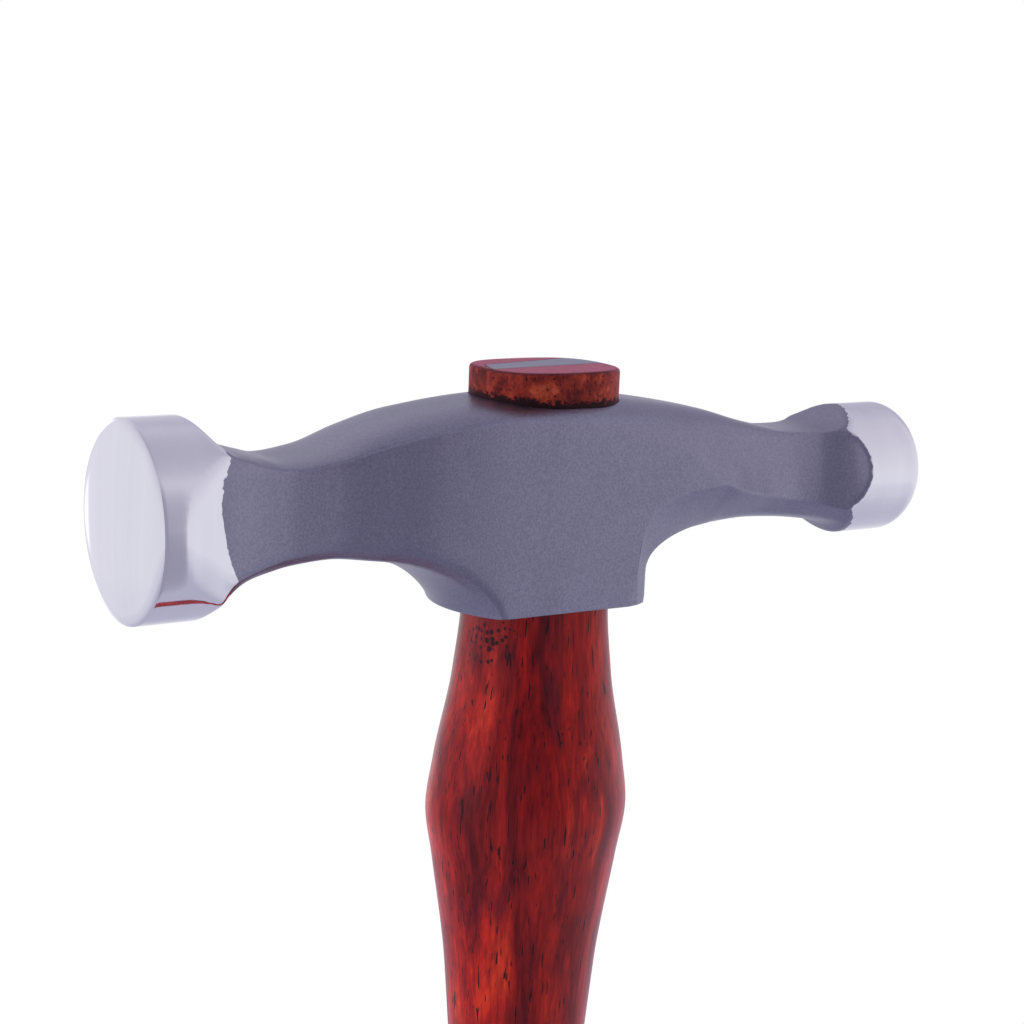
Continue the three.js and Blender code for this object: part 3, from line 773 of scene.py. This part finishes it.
# %% Grain and edge of the polish
# Blasted steel gives the eye an even, soft grey that never glints, and polished steel the room.
GRAIN = 0.3 * MM  # beads leave dents of about 0.1 mm, which are drawn coarser so that they show
PATCHES = 90.0  # to the metre, so a patch of heavier blasting is about 11 mm across
PATCH_WEIGHT = 0.25
SCALLOP = 0.9 * MM
SCALLOP_REACH = 0.9  # mm that a scallop moves the edge of the polish
EDGE_FROM, EDGE_TO = 0.42, 0.5  # matt turns to mirror about their mean reach of 0.45 mm
steel, tree, place = new_material("bead-blasted and mirror-polished steel")
grain = add_node(
    tree, "ShaderNodeTexNoise", {"Vector": place, "Scale": 1 / GRAIN, "Detail": 3.0}
).outputs["Fac"]
patches = add_node(
    tree, "ShaderNodeTexNoise", {"Vector": place, "Scale": PATCHES, "Detail": 2.0}
).outputs["Fac"]
scallops = add_node(
    tree, "ShaderNodeTexNoise", {"Vector": place, "Scale": 1 / SCALLOP, "Detail": 2.0}
).outputs["Fac"]
distance = add_node(tree, "ShaderNodeAttribute", attribute_name="polish").outputs["Fac"]
ragged = add_node(
    tree, "ShaderNodeMath", {0: scallops, 1: SCALLOP_REACH, 2: distance}, operation="MULTIPLY_ADD"
).outputs[0]
polished = add_node(tree, "ShaderNodeMapRange", {
    "Value": ragged, "From Min": POLISH_ZERO + EDGE_FROM, "From Max": POLISH_ZERO + EDGE_TO,
}).outputs[0]
print("blasted grain drawn at", round(GRAIN / MM, 2), "mm")

# %% [markdown]
# ## Colour and gloss of the head
# A metal's colour is the colour of its reflection. The blasted grey is darker, because its dents
# shade each other. The buffed ends are bright, with faint upright streaks from the wheel. The same
# mask takes the roughness from satin to mirror and the bump of the grain away.

# %% Steel of the head
MATT_DARK, MATT = "#807e93", "#918fa5"
STREAK, MIRROR = "#e1e0e9", "#e5e4ed"
BUFF = 3 * MM  # the width of a buffing streak
BUFF_DRAWN = 0.06  # the share of that fineness along Z, which draws the streaks out upright
MATT_ROUGHNESS, MIRROR_ROUGHNESS = 0.35, 0.05
BLAST_BUMP = 0.5
BLAST_DEPTH = 0.05 * MM
mottled = add_node(
    tree, "ShaderNodeMath", {0: patches, 1: PATCH_WEIGHT, 2: grain}, operation="MULTIPLY_ADD"
).outputs[0]
matt = add_node(
    tree, "ShaderNodeValToRGB", {0: mottled}, [(0.42, MATT_DARK), (0.83, MATT)]
).outputs[0]
upright = add_node(
    tree, "ShaderNodeMapping", {"Vector": place, "Scale": (1, 1, BUFF_DRAWN)}
).outputs[0]
streaks = add_node(
    tree, "ShaderNodeTexNoise", {"Vector": upright, "Scale": 1 / BUFF, "Detail": 3.0}
).outputs["Fac"]
buffed = add_node(
    tree, "ShaderNodeValToRGB", {0: streaks}, [(0.35, STREAK), (0.65, MIRROR)]
).outputs[0]
colour = add_node(
    tree, "ShaderNodeMix", {"Factor": polished, LOWER: matt, OVER: buffed}, data_type="RGBA"
).outputs[MIXED]
roughness = add_node(tree, "ShaderNodeMapRange", {
    "Value": polished, "To Min": MATT_ROUGHNESS, "To Max": MIRROR_ROUGHNESS,
}).outputs[0]
blast = add_node(
    tree, "ShaderNodeMapRange", {"Value": polished, "To Min": BLAST_BUMP, "To Max": 0.0}
).outputs[0]
bump = add_node(
    tree, "ShaderNodeBump", {"Height": grain, "Strength": blast, "Distance": BLAST_DEPTH}
).outputs[0]
shader = add_node(tree, "ShaderNodeBsdfPrincipled", {
    "Base Color": colour, "Metallic": 1.0, "Roughness": roughness, "Normal": bump,
}).outputs[0]
add_node(tree, "ShaderNodeOutputMaterial", {"Surface": shader})
dress(head, steel)
print("steel of the head:", len(tree.nodes), "nodes")

# %% [markdown]
# ## Grain of the wood
# The handle is a dense red hardwood. Bands of darker and brighter red run along it, with threads
# of fibre, smoky streaks and open pores that are dark with finish. A Wave texture would draw even
# stripes. Noise that is drawn out along the handle wanders as a real grain does, so each layer is
# one such noise, and a mark, such as a pore, is where its noise rises past a level.

# %% Patterns in the wood
# Lacquered hardwood gives the eye a deep warm red under a soft gleam, and short dark pores in it.
# Each noise: its size across the grain in mm, the share of that fineness along the grain, and its
# detail, roughness and curl. Pores are about 0.2 mm wide, and are drawn coarser so that they show.
WOOD_NOISES = {
    "figure": (6.0, 0.13, 5.0, 0.62, 0.9),
    "threads": (0.42, 0.03, 3.0, 0.5, 0.0),
    "smoke": (3.0, 0.28, 4.0, 0.5, 0.0),
    "pores": (0.36, 0.075, 1.0, 0.3, 0.0),
    "sanding": (2.2, 0.8, 5.0, 0.65, 0.0),
    "pits": (0.4, 0.8, 2.0, 0.5, 0.0),
    "end_grain": (0.6, 1.0, 3.0, 0.5, 0.0),
    "stain": (0.8, 1.0, 5.0, 0.7, 0.0),
}
# Each mark: the levels of its noise where it starts and where it is full, and its strength.
WOOD_MARKS = {"smoke": (0.5, 0.68, 0.6), "pores": (0.67, 0.71, 1.0), "pits": (0.6, 0.68, 1.0)}
wood, tree, place = new_material("lacquered red hardwood")
noises = {}
for name, (size, drawn, detail, roughness, curl) in WOOD_NOISES.items():
    along = add_node(tree, "ShaderNodeMapping", {"Vector": place, "Scale": (1, 1, drawn)})
    noises[name] = add_node(tree, "ShaderNodeTexNoise", {
        "Vector": along.outputs[0],
        "Scale": 1 / (size * MM),
        "Detail": detail,
        "Roughness": roughness,
        "Distortion": curl,
    }).outputs["Fac"]
marks = {}
for name, (low, high, strength) in WOOD_MARKS.items():
    marks[name] = add_node(tree, "ShaderNodeMapRange", {
        "Value": noises[name], "From Min": low, "From Max": high, "To Max": strength,
    }).outputs[0]
print(len(noises), "noises and", len(marks), "marks in the wood")

# %% [markdown]
# ## Lacquered wood
# The layers go on from the ground colour up, as they lie in the wood: figure, threads, smoke and
# pores. Where finish ran down from the eye it left a few dark spots on the swell, just below the
# head. They are round cells of a Voronoi texture that shrink to nothing away from one place.

# %% Colour of the lacquered wood
FIGURE = [(0.32, "#40050c"), (0.44, "#700c10"), (0.57, "#921510"), (0.69, "#b42d13")]
THREADS = [(0.35, "#7a4f74"), (0.62, "#ffffff")]
THREAD_WEIGHT = 0.5
SMOKE, PORE, SPOT = "#3c0816", "#26060f", "#24070f"
SPOTS_AT = (-9.3 * MM, -3.2 * MM, (UNDERSIDE - 4.6) * MM)
SPOTS_END, SPOTS_FULL = 5.5 * MM, 1 * MM  # distances from that place
SPOT_CELL = 0.95 * MM
SPOT_GROWTH = -0.42  # at that place a spot fills its cell this far from the cell's middle
SPOT_EDGE = (0.1, -0.02)  # and its rim is this soft
figure = add_node(tree, "ShaderNodeValToRGB", {0: noises["figure"]}, FIGURE).outputs[0]
threads = add_node(tree, "ShaderNodeValToRGB", {0: noises["threads"]}, THREADS).outputs[0]
lacquered = add_node(
    tree, "ShaderNodeMix", {"Factor": THREAD_WEIGHT, LOWER: figure, OVER: threads},
    data_type="RGBA", blend_type="MULTIPLY",
).outputs[MIXED]
away = add_node(
    tree, "ShaderNodeVectorMath", {0: place, 1: SPOTS_AT}, operation="DISTANCE"
).outputs["Value"]
near = add_node(
    tree, "ShaderNodeMapRange", {"Value": away, "From Min": SPOTS_END, "From Max": SPOTS_FULL}
).outputs[0]
cells = add_node(
    tree, "ShaderNodeTexVoronoi", {"Vector": place, "Scale": 1 / SPOT_CELL}
).outputs["Distance"]
shrinking = add_node(
    tree, "ShaderNodeMath", {0: near, 1: SPOT_GROWTH, 2: cells}, operation="MULTIPLY_ADD"
).outputs[0]
spots = add_node(tree, "ShaderNodeMapRange", {
    "Value": shrinking, "From Min": SPOT_EDGE[0], "From Max": SPOT_EDGE[1],
}).outputs[0]
for mark, code in ((marks["smoke"], SMOKE), (marks["pores"], PORE), (spots, SPOT)):
    lacquered = add_node(
        tree, "ShaderNodeMix", {"Factor": mark, LOWER: lacquered, OVER: linear(code)},
        data_type="RGBA",
    ).outputs[MIXED]
print("spots of finish within", round(SPOTS_END / MM, 1), "mm of one place on the swell")

# %% [markdown]
# ## Sanded tenon
# The end of the tenon is sanded bare. Its sides are a dull brown red with pits, and its top shows
# the fibres cut across, darker and finer. A dark ragged stain of finish runs round its foot. The
# stain attribute gives the height over the head, and noise makes the stain climb unevenly.

# %% Colour of the tenon
SANDED = [(0.33, "#340c0d"), (0.45, "#591917"), (0.57, "#7c2a1e"), (0.68, "#98422e")]
CROSS_CUT = [(0.35, "#35121a"), (0.65, "#572329")]
PIT, STAIN = "#22080a", "#1a090d"
TENON_FROM = ((HEAD_AXIS + 4) * MM, (HEAD_AXIS + 5) * MM)  # inside the eye, where none of it shows
TOP_FROM = (0.4 * MM, 0.1 * MM)  # below the top, where the sanded edge turns over to it
STAIN_CLIMB = -3.4  # mm that the noise takes off the height over the head
STAIN_EDGE = (-0.75, -1.1)  # what is left of it where the stain starts, and where it is full
level = add_node(tree, "ShaderNodeSeparateXYZ", {0: place}).outputs["Z"]
top = (UNDERSIDE + TENON_RISE) * MM
is_top = add_node(tree, "ShaderNodeMapRange", {
    "Value": level, "From Min": top - TOP_FROM[0], "From Max": top - TOP_FROM[1],
}).outputs[0]
is_tenon = add_node(tree, "ShaderNodeMapRange", {
    "Value": level, "From Min": TENON_FROM[0], "From Max": TENON_FROM[1],
}).outputs[0]
foot = add_node(tree, "ShaderNodeAttribute", attribute_name="stain").outputs["Fac"]
climbing = add_node(
    tree, "ShaderNodeMath", {0: noises["stain"], 1: STAIN_CLIMB, 2: foot},
    operation="MULTIPLY_ADD",
).outputs[0]
stained = add_node(tree, "ShaderNodeMapRange", {
    "Value": climbing, "From Min": STAIN_EDGE[0], "From Max": STAIN_EDGE[1],
}).outputs[0]
sanded = add_node(tree, "ShaderNodeValToRGB", {0: noises["sanding"]}, SANDED).outputs[0]
cross_cut = add_node(tree, "ShaderNodeValToRGB", {0: noises["end_grain"]}, CROSS_CUT).outputs[0]
for mark, over in ((marks["pits"], linear(PIT)), (is_top, cross_cut)):
    sanded = add_node(
        tree, "ShaderNodeMix", {"Factor": mark, LOWER: sanded, OVER: over}, data_type="RGBA"
    ).outputs[MIXED]
colour = lacquered
for mark, over in ((is_tenon, sanded), (stained, linear(STAIN))):
    colour = add_node(
        tree, "ShaderNodeMix", {"Factor": mark, LOWER: colour, OVER: over}, data_type="RGBA"
    ).outputs[MIXED]
print("top of the tenon at", round(top / MM, 1), "mm")

# %% [markdown]
# ## Lacquer
# A thin clear lacquer lies on the handle and stops at the eye. Seen straight on it shows the wood,
# and at a flat angle it gleams. A coat on the shader does that by itself, but a thin worn lacquer
# gleams less, so its weight is kept low and rises only towards the limbs of the oval.

# %% Lacquer over the wood
GRAZING = (0.3, 0.6)  # how far a surface is turned away where the gleam starts, and is full
COAT_WEIGHT = (0.1, 0.3)  # seen straight on, and at a flat angle
LACQUERED_ROUGHNESS, SANDED_ROUGHNESS = 0.4, 0.6
PORE_BUMP = 0.3
PORE_DEPTH = 0.08 * MM
grazing = add_node(tree, "ShaderNodeLayerWeight", {"Blend": 0.5}).outputs["Facing"]
gleam = add_node(tree, "ShaderNodeMapRange", {
    "Value": grazing,
    "From Min": GRAZING[0],
    "From Max": GRAZING[1],
    "To Min": COAT_WEIGHT[0],
    "To Max": COAT_WEIGHT[1],
}).outputs[0]
coat = add_node(
    tree, "ShaderNodeMapRange", {"Value": is_tenon, "To Min": gleam, "To Max": 0.0}
).outputs[0]
roughness = add_node(tree, "ShaderNodeMapRange", {
    "Value": is_tenon, "To Min": LACQUERED_ROUGHNESS, "To Max": SANDED_ROUGHNESS,
}).outputs[0]
bump = add_node(tree, "ShaderNodeBump", {
    "Height": marks["pores"], "Strength": PORE_BUMP, "Distance": PORE_DEPTH,
}).outputs[0]
# Fibres under the lacquer scatter light at a flat angle, which the sheen gives to both edges.
shader = add_node(tree, "ShaderNodeBsdfPrincipled", {
    "Base Color": colour,
    "Roughness": roughness,
    "Specular IOR Level": 0.1,
    "Coat Weight": coat,
    "Coat Roughness": 0.2,
    "Coat IOR": 1.45,
    "Sheen Weight": 0.3,
    "Sheen Roughness": 0.35,
    "Sheen Tint": linear("#f08cb4"),
    "Normal": bump,
}).outputs[0]
add_node(tree, "ShaderNodeOutputMaterial", {"Surface": shader})
dress(handle, wood)
print("wood:", len(tree.nodes), "nodes")

# %% [markdown]
# ## Ground steel
# The wedge's end was ground flush with the wood on a belt. That leaves fine straight scratches,
# which give the eye a satin grey. Noise that is drawn far out in one direction makes them, for the
# colour and for the bump.

# %% Steel of the wedge
SCRATCH = 0.25 * MM  # a belt's grit leaves about 0.1 mm, which is drawn coarser so that it shows
SCRATCH_TURN = math.radians(30)
SCRATCH_DRAWN = 0.05
SCRATCH_DEPTH = 0.02 * MM
SCRATCH_BUMP = 0.3
GROUND_ROUGHNESS = 0.42
GROUND = [(0.3, "#7f7e90"), (0.7, "#9c9bae")]
ground, tree, place = new_material("ground steel")
turned = add_node(tree, "ShaderNodeMapping", {
    "Vector": place, "Rotation": (0, 0, SCRATCH_TURN), "Scale": (SCRATCH_DRAWN, 1, 1),
}).outputs[0]
scratches = add_node(
    tree, "ShaderNodeTexNoise", {"Vector": turned, "Scale": 1 / SCRATCH, "Detail": 2.0}
).outputs["Fac"]
colour = add_node(tree, "ShaderNodeValToRGB", {0: scratches}, GROUND).outputs[0]
bump = add_node(tree, "ShaderNodeBump", {
    "Height": scratches, "Strength": SCRATCH_BUMP, "Distance": SCRATCH_DEPTH,
}).outputs[0]
shader = add_node(tree, "ShaderNodeBsdfPrincipled", {
    "Base Color": colour, "Metallic": 1.0, "Roughness": GROUND_ROUGHNESS, "Normal": bump,
}).outputs[0]
add_node(tree, "ShaderNodeOutputMaterial", {"Surface": shader})
dress(wedge, ground)
print("steel of the wedge:", len(tree.nodes), "nodes")

# %% [markdown]
# ## Directions of the light
# The hammer stands in a white studio tent that is open in front. What polished steel shows is the
# tone of the tent in each direction, so the room is drawn by direction. Towards the opening it is
# darker, and a bright strip far behind puts a thin white line on the limb of the larger face. The
# floor mirrors the same two, so one function serves both. It leaves height out, because the tent's
# sides stand upright.

# %% Directions
# A pair of cosines says how far from its axis a tone starts, and where it is full.
OPENING = (0.0, -1.0, 0.0)
OPENING_COSINES = (0.81, 0.96)
OPEN_SIDE = "#a7a4b5"
AWAY = (0.0, 1.0, 0.0)
AWAY_COSINES = (0.964, 0.97)
BRIGHT = (1.35, 1.35, 1.35, 1.0)  # over white, because steel gives back less than it gets
WHITE = (1.0, 1.0, 1.0, 1.0)


def facing(tree, direction, axis, low, high):
    """From 0 to 1 as the level part of a direction turns towards an axis, between two cosines."""
    flat = add_node(
        tree, "ShaderNodeVectorMath", {0: direction, 1: (1, 1, 0)}, operation="MULTIPLY"
    ).outputs[0]
    unit = add_node(tree, "ShaderNodeVectorMath", {0: flat}, operation="NORMALIZE").outputs[0]
    cosine = add_node(
        tree, "ShaderNodeVectorMath", {0: unit, 1: axis}, operation="DOT_PRODUCT"
    ).outputs["Value"]
    return add_node(
        tree, "ShaderNodeMapRange", {"Value": cosine, "From Min": low, "From Max": high},
        interpolation_type="SMOOTHSTEP",
    ).outputs[0]


widest = math.degrees(math.acos(OPENING_COSINES[0]))
print("the opening spreads", round(widest), "degrees to each side")

# %% [markdown]
# ## Floor
# A plain pale floor runs far back. Close to the hammer it is a real matt floor and keeps the
# shadow. Further out it fades, for the eye, to the white of the background, as a sweep of paper
# does. In polished steel it glows instead, with painted shade: greyer close by and towards the
# open front than far off.

# %% Floor
FLOOR_SIZE = 8.0
PAPER = "#f4f4f6"  # matt, so that it gives the eye the shadow and no gleam
FADE = (0.12, 0.42)  # metres from the hammer
FAR_OFF = (0.4, 0.9)
# Painted shade of the mirrored floor: its glowing tone by the distance in metres, greyer close by.
PAINTED_FLOOR_SHADE = [(0.2, "#c1c0d2"), (0.42, "#dfdee9"), (0.9, "#f1f0f6")]
bpy.ops.object.select_all(action="DESELECT")
bpy.ops.mesh.primitive_plane_add(size=FLOOR_SIZE)
floor = bpy.context.object
floor.name = "floor"
paper, tree, place = new_material("white paper floor")
rays = add_node(tree, "ShaderNodeLightPath").outputs
spread = add_node(tree, "ShaderNodeVectorMath", {0: place}, operation="LENGTH").outputs["Value"]
fading, far_off = [
    add_node(
        tree, "ShaderNodeMapRange", {"Value": spread, "From Min": near, "From Max": far},
        interpolation_type="SMOOTHSTEP",
    ).outputs[0]
    for near, far in (FADE, FAR_OFF)
]
seen = add_node(
    tree, "ShaderNodeMath", {0: rays["Is Camera Ray"], 1: rays["Is Transmission Ray"]},
    operation="MAXIMUM",
).outputs[0]
faded = add_node(tree, "ShaderNodeMath", {0: seen, 1: fading}, operation="MULTIPLY").outputs[0]
shows_white = add_node(
    tree, "ShaderNodeMath", {0: faded, 1: rays["Is Glossy Ray"]}, operation="MAXIMUM"
).outputs[0]
# painted shade: for reflections the floor glows greyer close to the hammer than far off
mirrored = add_node(tree, "ShaderNodeValToRGB", {0: spread}, PAINTED_FLOOR_SHADE).outputs[0]
open_front = facing(tree, place, OPENING, *OPENING_COSINES)
strip = add_node(
    tree, "ShaderNodeMath", {0: facing(tree, place, AWAY, *AWAY_COSINES), 1: far_off},
    operation="MULTIPLY",
).outputs[0]
# painted shade on the reflected floor towards the open front, then the bright strip far behind
for mask, over in ((open_front, linear(OPEN_SIDE)), (strip, BRIGHT)):
    mirrored = add_node(
        tree, "ShaderNodeMix", {"Factor": mask, LOWER: mirrored, OVER: over}, data_type="RGBA"
    ).outputs[MIXED]
tone = add_node(
    tree, "ShaderNodeMix", {"Factor": rays["Is Glossy Ray"], LOWER: WHITE, OVER: mirrored},
    data_type="RGBA",
).outputs[MIXED]
matt_paper = add_node(tree, "ShaderNodeBsdfDiffuse", {"Color": linear(PAPER)}).outputs[0]
white = add_node(tree, "ShaderNodeEmission", {"Color": tone, "Strength": 1.0}).outputs[0]
shader = add_node(tree, "ShaderNodeMixShader", {0: shows_white, 1: matt_paper, 2: white}).outputs[0]
add_node(tree, "ShaderNodeOutputMaterial", {"Surface": shader})
dress(floor, paper)
print("floor of", FLOOR_SIZE, "m")

# %% [markdown]
# ## The mirrored room
# The eye sees plain white behind the hammer. Polished steel shows the tent: white low down, greyer
# overhead, darkest towards the opening, and a little shaded behind on the right, above the horizon.
# All of it hangs on the direction alone, so it stays in place when the camera moves.

# %% Tent for the polished steel
# Tones from the horizon at 0.5 to straight overhead at 1.
TENT = [(0.5, "#f1eff5"), (0.854, "#dcd9e4"), (0.933, "#c8c5d2"), (1.0, "#b7b5c6")]
SHADED = "#c4c1d1"
SHADE_AXIS = (0.77, 0.64, 0.0)
SHADE_COSINES = (0.8, 0.96)
# Bands of height, as the sine of its angle: a tone starts at the first and is full at the second.
LOW_DOWN = (0.25, 0.05)
NOT_OVERHEAD = (0.95, 0.5)
OVER_HORIZON = (0.02, 0.2)
world = bpy.data.worlds.new("white studio tent")
bpy.context.scene.world = world
world.use_nodes = True
tree = world.node_tree
tree.nodes.clear()
rays = add_node(tree, "ShaderNodeLightPath").outputs
direction = add_node(tree, "ShaderNodeTexCoord").outputs["Generated"]
height = add_node(tree, "ShaderNodeSeparateXYZ", {0: direction}).outputs["Z"]
low_down, not_overhead, over_horizon = [
    add_node(
        tree, "ShaderNodeMapRange", {"Value": height, "From Min": none, "From Max": full},
        interpolation_type="SMOOTHSTEP",
    ).outputs[0]
    for none, full in (LOW_DOWN, NOT_OVERHEAD, OVER_HORIZON)
]
climb = add_node(tree, "ShaderNodeMapRange", {"Value": height, "From Min": -1.0}).outputs[0]
tent = add_node(tree, "ShaderNodeValToRGB", {0: climb}, TENT).outputs[0]
open_front = facing(tree, direction, OPENING, *OPENING_COSINES)
shade = add_node(tree, "ShaderNodeMath", {
    0: facing(tree, direction, SHADE_AXIS, *SHADE_COSINES), 1: over_horizon,
}, operation="MULTIPLY").outputs[0]
strip = facing(tree, direction, AWAY, *AWAY_COSINES)
for side, band, over in (
    (open_front, not_overhead, linear(OPEN_SIDE)),
    (shade, not_overhead, linear(SHADED)),
    (strip, low_down, BRIGHT),
):
    mask = add_node(tree, "ShaderNodeMath", {0: side, 1: band}, operation="MULTIPLY").outputs[0]
    tent = add_node(
        tree, "ShaderNodeMix", {"Factor": mask, LOWER: tent, OVER: over}, data_type="RGBA"
    ).outputs[MIXED]
tone = add_node(
    tree, "ShaderNodeMix", {"Factor": rays["Is Glossy Ray"], LOWER: WHITE, OVER: tent},
    data_type="RGBA",
).outputs[MIXED]
shown = add_node(tree, "ShaderNodeBackground", {"Color": tone, "Strength": 1.0}).outputs[0]
print("mirrored room:", len(tree.nodes), "nodes")

# %% [markdown]
# ## Soft light and lamps
# What lights the hammer is softer than what the steel mirrors: a pale room, darker in front, and
# three large panels that light the wood and the floor. The panels are left out of the mirrored
# room, where their outlines would lie across the steel.

# %% Soft light and lamps
SOFT_SIDES = "#f6f4f8"
SOFT_FRONT = "#68666c"
SOFT_COSINES = (-0.2, 0.8)
# Each panel: its place and its width in metres, and its power in watts.
LAMPS = {
    "left_panel": ((-1.0, 0.0, 0.45), 1.1, 14.0),
    "right_panel": ((1.0, 0.0, 0.4), 1.1, 22.0),
    "top_panel": ((0.0, 0.3, 1.3), 1.0, 1.2),
}
soft = add_node(tree, "ShaderNodeMix", {
    "Factor": facing(tree, direction, OPENING, *SOFT_COSINES),
    LOWER: linear(SOFT_SIDES),
    OVER: linear(SOFT_FRONT),
}, data_type="RGBA").outputs[MIXED]
ambient = add_node(tree, "ShaderNodeBackground", {"Color": soft, "Strength": 1.0}).outputs[0]
seen = rays["Is Camera Ray"]
for ray in ("Is Glossy Ray", "Is Transmission Ray"):
    seen = add_node(tree, "ShaderNodeMath", {0: seen, 1: rays[ray]}, operation="MAXIMUM").outputs[0]
room = add_node(tree, "ShaderNodeMixShader", {0: seen, 1: ambient, 2: shown}).outputs[0]
add_node(tree, "ShaderNodeOutputWorld", {"Surface": room})
target = Vector((0, 0, HEAD_AXIS * MM))
for name, (spot, size, power) in LAMPS.items():
    bpy.ops.object.select_all(action="DESELECT")
    bpy.ops.object.light_add(type="AREA", location=spot)
    lamp = bpy.context.object
    lamp.name = name
    lamp.data.size = size
    lamp.data.energy = power
    lamp.visible_glossy = False
    lamp.rotation_euler = (target - lamp.location).to_track_quat("-Z", "Y").to_euler()
print(len(LAMPS), "lamps")

# %% [markdown]
# ## Camera
# The camera stands where the photograph's did: in front of the larger face, a little above the
# head, with a short telephoto lens and a slight tilt. Turning it by Euler angles would mix the
# three up, so its three axes are worked out one after the other and set together.

# %% Camera
LENS = 75.565  # mm, on a frame 36 mm wide
AZIMUTH = math.radians(32.98)  # from +Y towards +X
ELEVATION = math.radians(11.04)  # downwards
TILT = math.radians(2.34)
STAND = Vector((-155.74, -233.53, 51.65 + HEAD_AXIS)) * MM  # from the middle of the butt
NEAR_CLIP = 0.01
forward = Vector((
    math.sin(AZIMUTH) * math.cos(ELEVATION),
    math.cos(AZIMUTH) * math.cos(ELEVATION),
    -math.sin(ELEVATION),
))
level = Vector((math.cos(AZIMUTH), -math.sin(AZIMUTH), 0))
upward = level.cross(forward)
across = level * math.cos(TILT) + upward * math.sin(TILT)
above = upward * math.cos(TILT) - level * math.sin(TILT)
bpy.ops.object.select_all(action="DESELECT")
bpy.ops.object.camera_add()
camera = bpy.context.object
camera.data.lens = LENS
camera.data.clip_start = NEAR_CLIP
aim = Matrix((across, above, -forward)).transposed().to_4x4()
camera.matrix_world = Matrix.Translation(STAND) @ aim
scene = bpy.context.scene
scene.camera = camera
scene.view_settings.view_transform = "Standard"
print("camera at", [round(v, 3) for v in camera.location])
